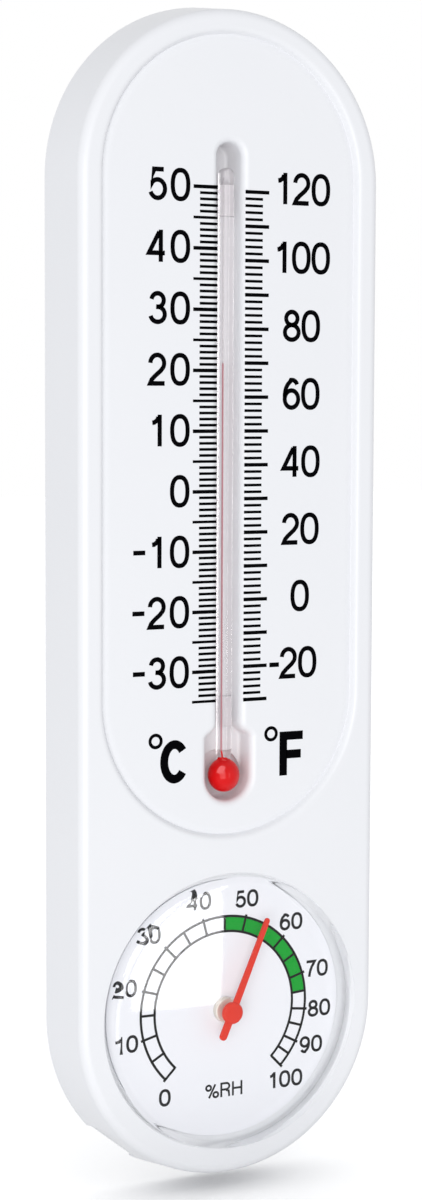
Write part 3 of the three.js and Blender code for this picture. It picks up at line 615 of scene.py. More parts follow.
def panel_border():
    """Rings of the panel's edge: a steep soft wall, then a shallow ditch that runs out to the panel."""
    rings = [(x * MM, FRONT_Y + depth * MM) for x, depth in PANEL_WALL_MM]
    for i in range(DITCH_STEPS + 1):
        x = DITCH_FOOT + (DITCH_CREST - DITCH_FOOT) * i / DITCH_STEPS
        rings.append((x, PANEL_Y + DITCH_DEPTH * (1 - i / DITCH_STEPS) ** 2))
    return rings


def housing_shell():
    """Moulded front shell: drafted wall, soft edges, sunk panel, channel, well and lens opening."""
    ends = stadium(0, CAP_CENTRE, -CAP_CENTRE)
    edge_y = FRONT_Y + FRONT_EDGE_RADIUS
    front_edge = [
        (outside_at(edge_y) - across, FRONT_Y + along)
        for across, along in reversed(quarter_round(FRONT_EDGE_RADIUS, steps=12))
    ]
    back_edge = [(BACK_HALF_WIDTH - across, -along) for across, along in quarter_round(BACK_EDGE_RADIUS, steps=5)]
    shell = stacked("housing_shell", ends, front_edge + back_edge)
    inside = outside_at(LEDGE_Y) - WALL
    rim = BACK_HALF_WIDTH - COVER_RIM
    carve(shell, stacked("cavity", ends, [
        (outside_at(PANEL_BACK_Y) - WALL, PANEL_BACK_Y), (inside, LEDGE_Y), (rim, LEDGE_Y), (rim, OVERRUN),
    ]))

    channel = channel_arcs()
    well = stadium(WELL_RADIUS, WELL_TOP - WELL_RADIUS, BULB_CENTRE.z, steps=32)
    pocket_centre = CHANNEL_TOP - CHANNEL_HALF_WIDTH
    pocket = stadium(CHANNEL_HALF_WIDTH, pocket_centre, POCKET_FOOT, steps=24)
    for arcs, depth in ((channel, CHANNEL_DEPTH), (well, WELL_DEPTH), (pocket, POCKET_DEPTH)):
        back_y = PANEL_Y + depth + CHANNEL_WALL
        walls = stacked("walls", arcs, [(CHANNEL_WALL, PANEL_BACK_Y - WALL / 2), (CHANNEL_WALL, back_y)])
        carve(shell, walls, "UNION")
    boss_rings = [
        (0, PANEL_BACK_Y - WALL / 2), (BOSS_RADIUS, PANEL_BACK_Y - WALL / 2), (BOSS_RADIUS, LEDGE_Y),
        (BOSS_BORE_RADIUS, LEDGE_Y), (BOSS_BORE_RADIUS, LEDGE_Y - BOSS_BORE_DEPTH), (0, LEDGE_Y - BOSS_BORE_DEPTH),
    ]
    for x, z in COVER_BOSS_PLACES:
        carve(shell, lathe("boss", boss_rings, (x, 0, z), steps=32), "UNION")

    panel_ends = stadium(0, PANEL_TOP - PANEL_HALF_WIDTH, PANEL_BOTTOM + PANEL_HALF_WIDTH)
    carve(shell, stacked("panel", panel_ends, panel_border()))

    lip = [(across, PANEL_Y + along) for across, along in reversed(quarter_round(LIP_RADIUS))]
    groove = stacked("channel", channel, [
        (LIP_RADIUS, PANEL_Y - OVERRUN), *lip,
        *pit_rings(PANEL_Y + LIP_RADIUS * CLEAR_OF_LIP, PANEL_Y + CHANNEL_DEPTH),
    ])
    carve(shell, steeper_left(groove))
    carve(shell, stacked("pocket", pocket, pit_rings(PANEL_Y + 2 * LIP_RADIUS, PANEL_Y + POCKET_DEPTH)))
    round_well = stadium(WELL_RADIUS, BULB_CENTRE.z, BULB_CENTRE.z, steps=32)
    carve(shell, stacked("well", round_well, pit_rings(PANEL_Y + 2 * LIP_RADIUS, PANEL_Y + WELL_DEPTH)))

    seat_radius = FLANGE_RADIUS + 2 * FIT_GAP
    hole_radius = LENS_RADIUS + FIT_GAP
    mouth_radius = hole_radius + LENS_HOLE_EDGE
    carve(shell, lathe("lens hole", [
        (0, FRONT_Y - OVERRUN), (mouth_radius, FRONT_Y - OVERRUN), (mouth_radius, FRONT_Y),
        (hole_radius, FRONT_Y + LENS_HOLE_EDGE), (hole_radius, FRONT_Y + WALL), (seat_radius, FRONT_Y + WALL),
        (seat_radius, -OVERRUN), (0, -OVERRUN),
    ], DIAL_CENTRE, steps=144))
    for turn in NOTCH_TURNS:
        carve(shell, pry_flat(turn))
    for x, z, radius in SINK_MARKS_MM:
        y = PANEL_Y if z > 0 else FRONT_Y
        rings = [
            (0, -OVERRUN), (radius * MM, -OVERRUN), (radius * MM, 0), (SINK_FLOOR_SHARE * radius * MM, SINK_DEPTH),
            (0, SINK_DEPTH),
        ]
        carve(shell, lathe("dimple", rings, (x * MM, y, z * MM), steps=32))
    return smooth(shell)


finish(housing_shell(), white_plastic, replaced=["front_housing"])


# Glass thermometer
def bulb_points(radius, neck_radius, steps=28):
    """Outside of a stretched bulb, from its foot round to its neck, about the bulb's centre."""
    end = math.degrees(math.acos(neck_radius / radius))
    points = [(0, -radius * BULB_STRETCH_SHARE)]
    for i in range(1, steps + 1):
        across, along = around(radius, -90 + (end + 90) * i / steps)
        points.append((across, along * BULB_STRETCH_SHARE))
    return points


def glass_tube():
    """Solid glass with a round bulb, a fine bore and a melted tip."""
    top = tube_high.z - BULB_CENTRE.z
    neck = bulb_points(BULB_RADIUS, NECK_RADIUS)
    start, widening = neck[-1][1], TUBE_RADIUS - NECK_RADIUS
    flare = []
    for i in range(FLARE_STEPS + 1):
        share = i / FLARE_STEPS
        flare.append((NECK_RADIUS + widening * smooth_share(share), start + NECK_LENGTH + FLARE_LENGTH * share))
    tip = [(TUBE_RADIUS - across, top - along) for across, along in quarter_round(TIP_HEIGHT)]
    tube = lathe("glass_thermometer_tube", neck + flare + tip + [(0, top)], BULB_CENTRE, "Z", steps=64)
    bore_centre = BULB_CENTRE + Vector((0, BORE_SET_BACK, 0))
    bore_top = top - TIP_HEIGHT - BORE_TIP_GAP
    bore = lathe("bore", [
        (0, BORE_FOOT), (BORE_RADIUS, BORE_FOOT), (BORE_RADIUS, bore_top), (0, bore_top + BORE_RADIUS),
    ], bore_centre, "Z", steps=24)
    return smooth(carve(tube, bore), degrees=40)


def liquid_pool():
    """Liquid that fills the bulb and narrows into the bore."""
    points = bulb_points(POOL_RADIUS, POOL_NECK_RADIUS)
    points += [(radius * MM, height * MM) for radius, height in POOL_CREST_MM]
    pool = lathe("bulb_liquid_pool", points + [(0, POOL_TOP)], BULB_CENTRE, "Z", steps=48)
    for vertex in pool.data.vertices:
        share = max(0.0, (vertex.co.z - BULB_CENTRE.z) / POOL_TOP)
        vertex.co.y += BORE_SET_BACK * share ** 2
    return smooth(pool, degrees=60)


def liquid_column():
    """Thread of liquid in the bore, in short stretches so that it can lengthen."""
    low, high = BULB_CENTRE.z + LIQUID_FOOT, rising_high.z
    points = [(0, low)]
    points += [(LIQUID_RADIUS, low + (high - low) * i / LIQUID_STRETCHES) for i in range(LIQUID_STRETCHES + 1)]
    points.append((0, high + LIQUID_TIP))
    return smooth(lathe("liquid_column", points, (0, TUBE_Y + BORE_SET_BACK, 0), "Z", steps=24), degrees=60)


tube = finish(glass_tube(), clear_glass, replaced=["glass_tube"])
finish(liquid_pool(), red_liquid, replaced=["bulb_liquid"])
column = finish(liquid_column(), thin_liquid, None, ["liquid_thread", "liquid_top"])
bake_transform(column)


# Lettering made of strokes: each stroke is a line of points in a box one unit high
def arc(x, z, width, height, start, end, steps):
    """Points on an ellipse, angles in degrees from the right, counter-clockwise."""
    turns = [math.radians(start + (end - start) * i / steps) for i in range(steps + 1)]
    return [(x + width * math.cos(t), z + height * math.sin(t)) for t in turns]


LOOP_EXPONENT = 2.35


def rounded_loop(width, steps=48):
    """Tall rounded loop with nearly straight sides."""
    points = []
    power = 2 / LOOP_EXPONENT
    for i in range(steps):
        t = 2 * math.pi * i / steps
        c, s = math.cos(t), math.sin(t)
        across, up = (math.copysign(abs(v) ** power, v) / 2 for v in (c, s))
        points.append((width * (0.5 + across), 0.5 + up))
    return points + points[:1]


GLYPHS = {
    "0": (0.61, [rounded_loop(0.61)]),
    "1": (0.55, [
        [(0.36, -0.06), (0.36, 1.06)],
        [(0.07, 0.775), (0.15, 0.785), *arc(0.13, 1.0, 0.17, 0.20, -70, -4, 8)],
    ]),
    "2": (0.58, [
        [
            *arc(0.29, 0.71, 0.27, 0.29, 178, -30, 20),
            (0.42, 0.44), (0.20, 0.26), (0.07, 0.13), (0.01, 0.0), (0.58, 0.0),
        ],
    ]),
    "3": (0.56, [
        [*arc(0.28, 0.76, 0.24, 0.24, 172, -80, 18), (0.22, 0.53)],
        [(0.24, 0.53), *arc(0.28, 0.265, 0.28, 0.265, 86, -168, 22)],
    ]),
    "4": (0.62, [[(0.62, 0.25), (0.0, 0.25), (0.40, 0.985)], [(0.46, 1.06), (0.46, -0.06)]]),
    "5": (0.57, [
        [(0.52, 1.0), (0.14, 1.0), (0.06, 0.50), *arc(0.28, 0.32, 0.29, 0.32, 135, -160, 24)],
    ]),
    "6": (0.57, [
        [*arc(0.30, 0.74, 0.24, 0.26, 22, 100, 8), *arc(0.42, 0.42, 0.41, 0.58, 118, 184, 10)],
        [*arc(0.29, 0.31, 0.28, 0.31, 180, -180, 32)],
    ]),
    "7": (0.57, [[(0.0, 1.0), (0.57, 1.0), (0.36, 0.62), (0.25, 0.30), (0.19, -0.06)]]),
    "8": (0.57, [
        [*arc(0.285, 0.765, 0.235, 0.235, 0, 360, 28)],
        [*arc(0.285, 0.265, 0.285, 0.265, 0, 360, 32)],
    ]),
    "9": (0.57, [
        [*arc(0.27, 0.26, 0.24, 0.26, 202, 280, 8), *arc(0.15, 0.58, 0.41, 0.58, -62, 4, 10)],
        [*arc(0.28, 0.69, 0.28, 0.31, 0, 360, 32)],
    ]),
    "C": (0.66, [arc(0.35, 0.5, 0.35, 0.5, 38, 322, 36)]),
    "F": (0.54, [[(0.62, 1.0), (0.0, 1.0), (0.0, -0.09)], [(0.1, 0.49), (0.56, 0.49)]]),
    "R": (0.60, [
        [(0.0, -0.06), (0.0, 1.0), *arc(0.34, 0.755, 0.22, 0.245, 90, -90, 14), (0.06, 0.51)],
        [(0.34, 0.45), (0.52, 0.38), (0.56, -0.06)],
    ]),
    "H": (0.60, [[(0.0, -0.06), (0.0, 1.06)], [(0.60, -0.06), (0.60, 1.06)], [(0.065, 0.52), (0.535, 0.52)]]),
    "%": (0.84, [
        arc(0.17, 0.78, 0.17, 0.20, 0, 360, 24), arc(0.67, 0.20, 0.17, 0.20, 0, 360, 24),
        [(0.20, -0.02), (0.64, 1.02)],
    ]),
}


SHARPEST_MITRE = 0.35


def stroke_body(points, weight, y_front, y_back):
    """Flat ribbon of even width along a line of points, as vertices and faces."""
    line = [Vector(p) for p in points]
    closed = (line[0] - line[-1]).length < weight / 50
    if closed:
        line = line[:-1]
    count = len(line)
    sides = []
    for i, point in enumerate(line):
        before = line[i - 1] if closed or i else None
        after = line[(i + 1) % count] if closed or i + 1 < count else None
        steps = [point - before if before else None, after - point if after else None]
        ways = [step.normalized() for step in steps if step]
        way = sum(ways, Vector((0, 0))).normalized()
        reach = weight / 2 / max(SHARPEST_MITRE, way.dot(ways[0]))
        normal = Vector((-way.y, way.x)) * reach
        sides.append((point + normal, point - normal))
    vertices = []
    for left, right in sides:
        vertices += [(left.x, y_front, left.y), (right.x, y_front, right.y),
                     (right.x, y_back, right.y), (left.x, y_back, left.y)]
    faces = []
    for i in range(count if closed else count - 1):
        a, b = 4 * i, 4 * ((i + 1) % count)
        faces += [(a + k, a + (k + 1) % 4, b + (k + 1) % 4, b + k) for k in range(4)]
    if not closed:
        faces += [(0, 1, 2, 3), (4 * count - 1, 4 * count - 2, 4 * count - 3, 4 * count - 4)]
    return vertices, faces


class Print:
    """Gathers strokes on one flat face and turns them into one piece."""

    def __init__(self, surface_y):
        self.y_front, self.y_back = surface_y - INK, surface_y + SINK_IN
        self.vertices, self.faces = [], []

    def add(self, vertices, faces):
        start = len(self.vertices)
        self.vertices += vertices
        self.faces += [tuple(start + i for i in face) for face in faces]

    def line(self, points, weight):
        self.add(*stroke_body(points, weight, self.y_front, self.y_back))

    def width_of(self, text, height, weight, gap, stretch=1.0):
        unit = height - weight
        return sum(GLYPHS[c][0] * unit * stretch + weight for c in text) + gap * (len(text) - 1)

    def text(self, text, x, z, height, weight, gap, stretch=1.0):
        """Lettering from its left edge x, centred on the height z. Height is over all."""
        unit = height - weight
        for character in text:
            width, strokes = GLYPHS[character]
            for stroke in strokes:
                points = [(x + weight / 2 + a * unit * stretch, z + (b - 0.5) * unit) for a, b in stroke]
                self.line(points, weight)
            x += width * unit * stretch + weight + gap

    def piece(self, name):
        return new_object(name, self.vertices, self.faces)


# Scale print: ticks and numbers on the sunk panel
TICK_START = 3.02 * MM
TICK_MINOR_END = 6.85 * MM
TICK_MAJOR_END = 8.24 * MM
TICK_WEIGHT = 0.53 * MM
TICK_TEN_WEIGHT = 0.7 * MM
NUMBER_HEIGHT = 6.32 * MM
NUMBER_WEIGHT = 0.9 * MM
CELSIUS_RIGHT = -8.93 * MM
CELSIUS_GAP = 0.74 * MM
FAHRENHEIT_CENTRE = 15.62 * MM
FAHRENHEIT_GAP = 0.18 * MM
MINUS_LENGTH = 2.55 * MM
MINUS_GAP = 0.62 * MM
FAHRENHEIT_TICK_ZERO = ZERO_Z - 21.27 * MM
FAHRENHEIT_TICK_STEP = 0.6596 * MM
FAHRENHEIT_NUMBER_ZERO = ZERO_Z - 20.9 * MM
FAHRENHEIT_NUMBER_STEP = 0.6646 * MM
NUMBER_LIFT = 0.17 * MM
NEGATIVE_SHIFT = 0.3 * MM
MINUS_TAIL_GAP = 0.1 * MM
UNIT_WEIGHT = 1.72 * MM
UNIT_MARKS_MM = (("C", -15.1, -30.75, 8.5, 0.94), ("F", 11.25, -30.78, 9, 0.98))    # left, centre, height, stretch
DEGREE_RINGS_MM = ((-16.1, -26.5), (9.32, -26.55))
DEGREE_RING_RADIUS = 1.2 * MM
DEGREE_RING_WEIGHT = 0.66 * MM


def celsius_print():
    made = Print(PANEL_Y)
    for degrees in range(-35, 51):
        z = ZERO_Z + DEGREE * degrees
        end = TICK_MAJOR_END if degrees % 5 == 0 else TICK_MINOR_END
        made.line([(-end, z), (-TICK_START, z)], TICK_TEN_WEIGHT if degrees % 10 == 0 else TICK_WEIGHT)
    for degrees in range(-30, 51, 10):
        text = str(abs(degrees))
        left = CELSIUS_RIGHT - made.width_of(text, NUMBER_HEIGHT, NUMBER_WEIGHT, CELSIUS_GAP)
        z = ZERO_Z + DEGREE * degrees + NUMBER_LIFT
        made.text(text, left, z, NUMBER_HEIGHT, NUMBER_WEIGHT, CELSIUS_GAP)
        if degrees < 0:
            made.line([(left - MINUS_GAP - MINUS_LENGTH, z), (left - MINUS_GAP, z)], NUMBER_WEIGHT)
    return made.piece("celsius_scale_print")


def fahrenheit_print():
    made = Print(PANEL_Y)
    for degrees in range(-30, 121, 2):
        z = FAHRENHEIT_TICK_ZERO + FAHRENHEIT_TICK_STEP * degrees
        ten = degrees % 10 == 0
        made.line([(TICK_START, z), (TICK_MAJOR_END if ten else TICK_MINOR_END, z)],
                  TICK_TEN_WEIGHT if ten else TICK_WEIGHT)
    for degrees in range(-20, 121, 20):
        text = str(abs(degrees))
        left = FAHRENHEIT_CENTRE - made.width_of(text, NUMBER_HEIGHT, NUMBER_WEIGHT, FAHRENHEIT_GAP) / 2
        left -= NEGATIVE_SHIFT if degrees < 0 else 0
        z = FAHRENHEIT_NUMBER_ZERO + FAHRENHEIT_NUMBER_STEP * degrees
        made.text(text, left, z, NUMBER_HEIGHT, NUMBER_WEIGHT, FAHRENHEIT_GAP)
        if degrees < 0:
            tick_z = FAHRENHEIT_TICK_ZERO + FAHRENHEIT_TICK_STEP * degrees
            made.line([(TICK_MAJOR_END + MINUS_GAP, tick_z), (left - MINUS_TAIL_GAP, tick_z)], NUMBER_WEIGHT)
    return made.piece("fahrenheit_scale_print")


def unit_marks():
    """Degree rings and bold letters under the two scales."""
    made = Print(PANEL_Y)
    for letter, x, z, height, stretch in UNIT_MARKS_MM:
        made.text(letter, x * MM, z * MM, height * MM, UNIT_WEIGHT, 0, stretch)
    for x, z in DEGREE_RINGS_MM:
        ring = arc(x * MM, z * MM, DEGREE_RING_RADIUS, DEGREE_RING_RADIUS, 0, 360, 32)
        made.line(ring, DEGREE_RING_WEIGHT)
    return made.piece("unit_marks")


finish(celsius_print(), black_ink)
finish(fahrenheit_print(), black_ink)
finish(unit_marks(), black_ink)

# Dial print
RING_INNER = 15.4 * MM
RING_OUTER = 18.4 * MM
RING_NUB = 18.95 * MM
RING_WEIGHT = 0.5 * MM
RING_END_DEGREES = 0.6    # by which the ring's arcs run past its end lines
TEN_TURNS = (225, 194.6, 163.9, 134.2, 104.7, 75.0, 44.4, 16.4, -7.1, -28.2, -46)
NUMBER_PLACES = (
    (-128.2, 21.2), (-167, 22.1), (164.4, 22.7), (136, 23.2), (104.6, 22.6), (77.0, 22.1), (46.6, 21.95),
    (15.3, 21.85), (-6.5, 21.85), (-26.2, 22.15), (-49.3, 21.4),
)    # turn in degrees, reach in mm
DIAL_NUMBER_STYLE = (3.5 * MM, 0.57 * MM, 0.22 * MM, 1.12)    # height, weight, gap, stretch
UNIT_STYLE = (3 * MM, 0.42 * MM, 0.28 * MM, 1.24)
UNIT_DROP = 16.7 * MM
GREEN_FROM, GREEN_TO = 45, 75
SHEET_HOLE_RADIUS = 1.6 * MM
SHEET_EDGE = 0.05 * MM


def turn_of(humidity):
    """Angle of a humidity on the dial, from the printed lines."""
    tens = min(int(humidity // 10), 9)
    share = humidity / 10 - tens
    return TEN_TURNS[tens] + (TEN_TURNS[tens + 1] - TEN_TURNS[tens]) * share


def on_dial(reach, turn):
    x, z = around(reach, turn)
    return DIAL_CENTRE.x + x, DIAL_CENTRE.z + z


def dial_arc(reach, start, end, steps=120):
    return [on_dial(reach, start + (end - start) * i / steps) for i in range(steps + 1)]


def dial_ring():
    made = Print(DIAL_FACE_Y - INK)
    for reach in (RING_INNER, RING_OUTER):
        made.line(dial_arc(reach, TEN_TURNS[0] + RING_END_DEGREES, TEN_TURNS[-1] - RING_END_DEGREES), RING_WEIGHT)
    for humidity in range(0, 101, 5):
        turn = turn_of(humidity)
        end = RING_NUB if humidity % 10 == 0 else RING_OUTER
        made.line([on_dial(RING_INNER, turn), on_dial(end, turn)], RING_WEIGHT)
    return made.piece("dial_ring_print")


def dial_numbers():
    made = Print(DIAL_FACE_Y)
    for i, (turn, reach) in enumerate(NUMBER_PLACES):
        text = str(10 * i)
        x, z = on_dial(reach * MM, turn)
        made.text(text, x - made.width_of(text, *DIAL_NUMBER_STYLE) / 2, z, *DIAL_NUMBER_STYLE)
    left = DIAL_CENTRE.x - made.width_of("%RH", *UNIT_STYLE) / 2
    made.text("%RH", left, DIAL_CENTRE.z - UNIT_DROP, *UNIT_STYLE)
    return made.piece("dial_number_print")


def green_band():
    made = Print(DIAL_FACE_Y)
    middle = (RING_INNER + RING_OUTER) / 2
    made.line(dial_arc(middle, turn_of(GREEN_FROM), turn_of(GREEN_TO), steps=60), RING_OUTER - RING_INNER)
    return made.piece("dial_green_band")


finish(green_band(), green_ink)
finish(dial_ring(), black_ink)
finish(dial_numbers(), grey_ink)


def dial_plate():
    """Printed sheet that fills the lens, with the bushing's hole."""
    hole, edge = SHEET_HOLE_RADIUS, SHEET_EDGE
    profile = [
        (hole, dial_low.y), (DIAL_RADIUS - edge, dial_low.y), (DIAL_RADIUS, dial_low.y + edge),
        (DIAL_RADIUS, dial_high.y), (hole, dial_high.y), (hole, dial_low.y),
    ]
    return smooth(lathe("printed_dial_sheet", profile, DIAL_CENTRE, steps=144), degrees=40)


finish(dial_plate(), dial_white, replaced=["dial_plate"])


# Lens
def lens_profile(inset, steps=24):
    shoulder = LENS_SHOULDER - inset / 2
    crown_radius = LENS_RADIUS - inset - shoulder
    crown_y = lens_low.y + inset
    crown = [(crown_radius * i / steps, crown_y + LENS_CROWN * (i / steps) ** 2) for i in range(steps)]
    rounding = [
        (crown_radius + shoulder - across, crown_y + LENS_CROWN + along)
        for across, along in reversed(quarter_round(shoulder, steps=10))
    ]
    return crown + rounding


def clear_lens():
    """Domed cover as one closed wall: outside, flange, inside."""
    back_y = FLANGE_FRONT_Y + FLANGE_THICKNESS
    outer = lens_profile(0) + [
        (LENS_RADIUS, FLANGE_FRONT_Y), (FLANGE_RADIUS, FLANGE_FRONT_Y), (FLANGE_RADIUS, back_y),
    ]
    inner = [(LENS_RADIUS - LENS_WALL, back_y)] + list(reversed(lens_profile(LENS_WALL)))
    return smooth(lathe("hygrometer_clear_lens", outer + inner, DIAL_CENTRE, steps=144), degrees=40)


def dress_lens(lens):
    """Gives the outside of the rounded shoulder the plastic that bends light, and the flange a frosted one."""
    lens.data.materials.append(shoulder_plastic)
    lens.data.materials.append(frosted_plastic)
    slack = 0.01 * MM    # for faces that end on a limit
    low, high = lens_low.y + LENS_CROWN - slack, lens_low.y + LENS_CROWN + LENS_SHOULDER + slack
    for face in lens.data.polygons:
        middle = face.center - DIAL_CENTRE
        reach = math.hypot(middle.x, middle.z)
        outside = Vector((middle.x, 0, middle.z)).dot(face.normal) > 0 and reach > LENS_RADIUS - LENS_SHOULDER
        if outside and low < middle.y < high:
            face.material_index = 1
        if face.center.y > FLANGE_FRONT_Y - slack:
            face.material_index = 2


lens = finish(clear_lens(), clear_plastic, replaced=["hygrometer_lens"])
dress_lens(lens)


# Pointer and its bushing
def pointer_piece():
    """Flat blade and tail on a thicker hub, turned to the reading at rest."""
    back_y = pointer_high.y
    front_y = back_y - BLADE_THICKNESS
    tip_radius, tail_radius = BLADE_TIP_WIDTH / 2, TAIL_WIDTH / 2
    tip = arc(POINTER_TIP - tip_radius, 0, tip_radius, tip_radius, -90, 90, 12)
    root = [(0, BLADE_ROOT_WIDTH / 2), (0, -BLADE_ROOT_WIDTH / 2)]
    tail = arc(tail_radius - POINTER_TAIL, 0, tail_radius, tail_radius, 90, 270, 12)
    tail_root = [(0, -tail_radius), (0, tail_radius)]

    def flat(points, name):
        places = [Vector(point) for point in points]
        middle = sum(places, Vector((0, 0))) / len(places)

        def ring(y, inset):
            placed = [place - (place - middle).normalized() * inset for place in places]
            return [(place.x, y, place.y) for place in placed]
        return loft(name, [ring(front_y, BLADE_EDGE), ring(front_y + BLADE_EDGE, 0), ring(back_y, 0)])

    hub_front = back_y - HUB_THICKNESS
    edge = [
        (HUB_RADIUS - across, hub_front + along)
        for across, along in reversed(quarter_round(HUB_EDGE_RADIUS, steps=6))
    ]
    hub = lathe("hub", [(0, hub_front), *edge, (HUB_RADIUS, back_y), (0, back_y)], steps=64)
    blade = flat(tip + root, "blade")
    counter = flat(tail + tail_root, "counter")
    whole = carve(carve(hub, blade, "UNION"), counter, "UNION")
    whole.name = "red_pointer"
    turn = Matrix.Translation(DIAL_AXIS) @ Matrix.Rotation(-math.radians(POINTER_DEGREES), 4, "Y")
    whole.data.transform(turn)
    return smooth(whole, degrees=35)


def bushing_piece():
    """Disc in the middle of the dial, with the barrel that passes through it."""
    front, back = bushing_low.y, DIAL_FACE_Y - FIT_GAP / 2
    radius, bore = bushing_high.x, BUSHING_BORE_RADIUS
    edge = [
        (radius - across, front + along)
        for across, along in reversed(quarter_round(BUSHING_EDGE_RADIUS, steps=6))
    ]
    profile = [
        (bore, front), *edge, (radius, back), (BARREL_RADIUS, back), (BARREL_RADIUS, bushing_high.y),
        (bore, bushing_high.y), (bore, front),
    ]
    return smooth(lathe("dial_bushing", profile, DIAL_AXIS, steps=64), degrees=40)


finish(pointer_piece(), red_lacquer, "pointer", ["pointer"])
finish(bushing_piece(), tinned_brass, replaced=["front_bushing"])

# Carried-over pieces
CARRIED = {
    "rear_cover": back_plastic, "dial_carrier": back_plastic,
    "upper_tube_pad": mastic, "lower_tube_pad": mastic, "humidity_coil": foil,
    "pointer_arbor": steel, "movement_bridge": steel, "coil_collet": brass,
    "regulator_arm": brass, "calibration_stud": brass,
}
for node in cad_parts:
    if "screw" in node:
        CARRIED[node] = steel
for node, look in CARRIED.items():
    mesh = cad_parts[node].data
    mesh.materials.clear()
    mesh.materials.append(look)


# Floor, light and camera
FLOOR_COLOUR = (0.93, 0.93, 0.93)
FLOOR_REACH = 3.0
FLOOR_FRONT = -0.07
FLOOR_DROP = 2 * MM
SHADOW_REACH = 0.1
LIFT_FROM, LIFT_FULL = 0.12, 0.95    # openness at which the floor starts to glow, and at which it glows in full; less glow near the object is a painted shadow
LIFT = 0.5


def stage_floor():
    """White floor that keeps the object's shadow, deepened by a painted shadow where its glow fades with ambient
    occlusion, and otherwise reads as the backdrop.
    """
    left, right, back, z = -FLOOR_REACH, FLOOR_REACH, FLOOR_REACH, housing_low.z - FLOOR_DROP
    corners = [(left, FLOOR_FRONT, z), (right, FLOOR_FRONT, z), (right, back, z), (left, back, z)]
    floor = new_object("floor", corners, [(0, 1, 2, 3)])
    made, tree, shader = material("floor paper", FLOOR_COLOUR, 0.9, Specular_IOR_Level=0.0)
    shader.inputs["Emission Color"].default_value = (1, 1, 1, 1)
    # Painted shadow: the glow seen by the camera, in mirrors and through glass fades where ambient occlusion finds
    # the object near
    openness = tree.nodes.new("ShaderNodeAmbientOcclusion")
    openness.inputs["Distance"].default_value = SHADOW_REACH
    openness.samples = 8
    lift = tree.nodes.new("ShaderNodeMapRange")
    lift.inputs["From Min"].default_value = LIFT_FROM
    lift.inputs["From Max"].default_value = LIFT_FULL
    lift.inputs["To Max"].default_value = LIFT
    link(tree, openness.outputs["AO"], lift.inputs["Value"])
    seen = tree.nodes.new("ShaderNodeMath")
    seen.operation = "MULTIPLY"
    link(tree, lift.outputs["Result"], seen.inputs[0])
    link(tree, any_ray(tree, "Camera", "Glossy", "Transmission"), seen.inputs[1])
    link(tree, seen.outputs["Value"], shader.inputs["Emission Strength"])
    floor.data.materials.append(made)


ROOM_COLOUR = (0.97, 0.98, 1.0)
ROOM_STRENGTH = 0.66


def world_light():
    """Even room light, which reads as a white backdrop when seen, mirrored or looked at through glass."""
    world = bpy.data.worlds.new("room")
    bpy.context.scene.world = world
    world.use_nodes = True
    tree = world.node_tree
    room = tree.nodes["Background"]
    room.inputs["Color"].default_value = (*ROOM_COLOUR, 1)
    room.inputs["Strength"].default_value = ROOM_STRENGTH
    white = tree.nodes.new("ShaderNodeBackground")
    white.inputs["Color"].default_value = (1, 1, 1, 1)
    white.inputs["Strength"].default_value = 1.0
    mix = tree.nodes.new("ShaderNodeMixShader")
    link(tree, any_ray(tree, "Camera", "Glossy", "Transmission"), mix.inputs["Fac"])
    link(tree, room.outputs["Background"], mix.inputs[1])
    link(tree, white.outputs["Background"], mix.inputs[2])
    link(tree, mix.outputs["Shader"], tree.nodes["World Output"].inputs["Surface"])


def soft_box(name, place, target, size, radiance):
    """Rectangular lamp whose face has an even radiance."""
    lamp = bpy.data.lights.new(name, "AREA")
    lamp.shape = "RECTANGLE"
    lamp.size, lamp.size_y = size
    lamp.energy = radiance * math.pi * size[0] * size[1]
    holder = bpy.data.objects.new(name, lamp)
    holder.location = place
    holder.rotation_euler = (Vector(target) - Vector(place)).to_track_quat("-Z", "Y").to_euler()
    bpy.context.scene.collection.objects.link(holder)
    return holder


def direction(azimuth, elevation):
    """Unit vector from the front: azimuth to the viewer's right, elevation upwards."""
    a, e = math.radians(azimuth), math.radians(elevation)
    return Vector((math.sin(a) * math.cos(e), -math.cos(a) * math.cos(e), math.sin(e)))


# The window whose reflection washes over the dial's upper left quarter
WINDOW_RIGHT, WINDOW_LEFT = 24.9, 12.6    # in degrees, seen from the lens, as foot and head
WINDOW_FOOT, WINDOW_HEAD = -12.9, 20.0
WINDOW_DISTANCE = 1.2
WINDOW_RADIANCE = 8.5
SKYLIGHT_ANGLES = (-55, 45)
SKYLIGHT_SIZE = (1, 1)
SKYLIGHT_RADIANCE = 7.2


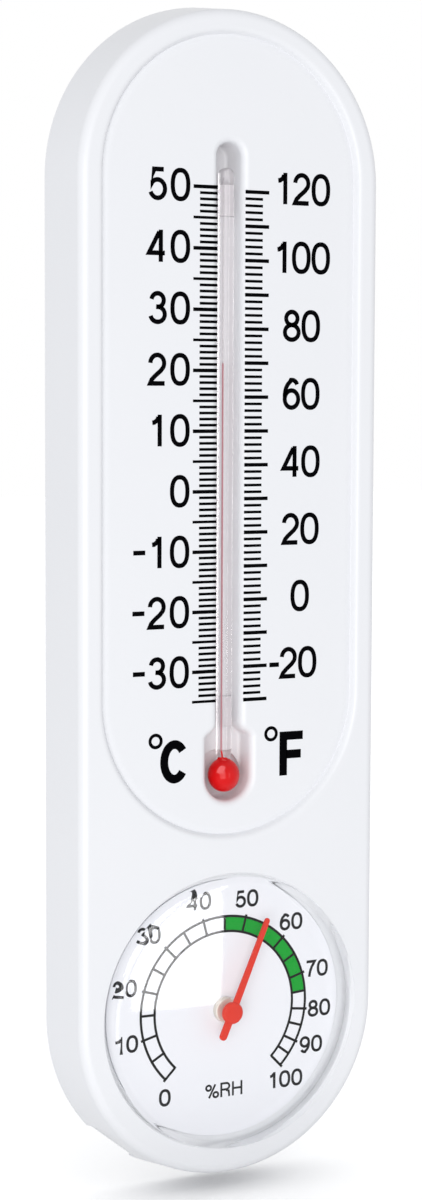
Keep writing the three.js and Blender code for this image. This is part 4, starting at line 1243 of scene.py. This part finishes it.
def window():
    """Bright panes that show only as reflections, in the lens and the thermometer's glass."""
    middle = direction((WINDOW_LEFT + WINDOW_RIGHT) / 2, (WINDOW_FOOT + WINDOW_HEAD) / 2)
    width = 2 * WINDOW_DISTANCE * math.tan(math.radians(WINDOW_RIGHT - WINDOW_LEFT) / 2)
    height = 2 * WINDOW_DISTANCE * math.tan(math.radians(WINDOW_HEAD - WINDOW_FOOT) / 2)
    target = DIAL_CENTRE + Vector((0, lens_low.y, 0))
    pane = soft_box("window", target + middle * WINDOW_DISTANCE, target, (width, height), WINDOW_RADIANCE)
    above = soft_box("skylight", target + direction(*SKYLIGHT_ANGLES), target, SKYLIGHT_SIZE, SKYLIGHT_RADIANCE)
    receivers = bpy.data.collections.new("mirrors the window")
    receivers.objects.link(lens)
    receivers.objects.link(tube)
    for lamp in (pane, above):
        lamp.visible_diffuse = False
        lamp.light_linking.receiver_collection = receivers


KEY_PLACE = (-0.55, -0.9, -0.08)
KEY_TARGET = (0, 0, -0.03)
KEY_SIZE = (0.8, 0.8)
KEY_RADIANCE = 2.87

# Camera
EYE_MM = (-220.09, -432.52, 40.57)
YAW, PITCH, ROLL = 27.179, 4.839, -0.216    # in degrees
FOCAL_PIXELS, LONG_SIDE_PIXELS = 2435.65, 1200
SENSOR_WIDTH = 36
CLIP_START = 0.01


def camera():
    """The photograph's viewpoint, found from the printed scales, the dial's ring and the outline."""
    eye = Vector(EYE_MM) * MM
    yaw, pitch, roll = (math.radians(a) for a in (YAW, PITCH, ROLL))
    forward = Vector((math.sin(yaw) * math.cos(pitch), math.cos(yaw) * math.cos(pitch), -math.sin(pitch)))
    level = Vector((math.cos(yaw), -math.sin(yaw), 0))
    down = forward.cross(level)
    right = level * math.cos(roll) + down * math.sin(roll)
    up = -(down * math.cos(roll) - level * math.sin(roll))
    optics = bpy.data.cameras.new("camera")
    optics.sensor_width = SENSOR_WIDTH
    optics.lens = SENSOR_WIDTH * FOCAL_PIXELS / LONG_SIDE_PIXELS
    optics.clip_start = CLIP_START
    holder = bpy.data.objects.new("camera", optics)
    axes = Matrix((right, up, -forward)).transposed()
    holder.matrix_world = Matrix.Translation(eye) @ axes.to_4x4()
    bpy.context.scene.collection.objects.link(holder)
    bpy.context.scene.camera = holder


stage_floor()
world_light()
window()
soft_box("left key", KEY_PLACE, KEY_TARGET, KEY_SIZE, KEY_RADIANCE)
camera()
bpy.context.scene.view_settings.view_transform = "Standard"
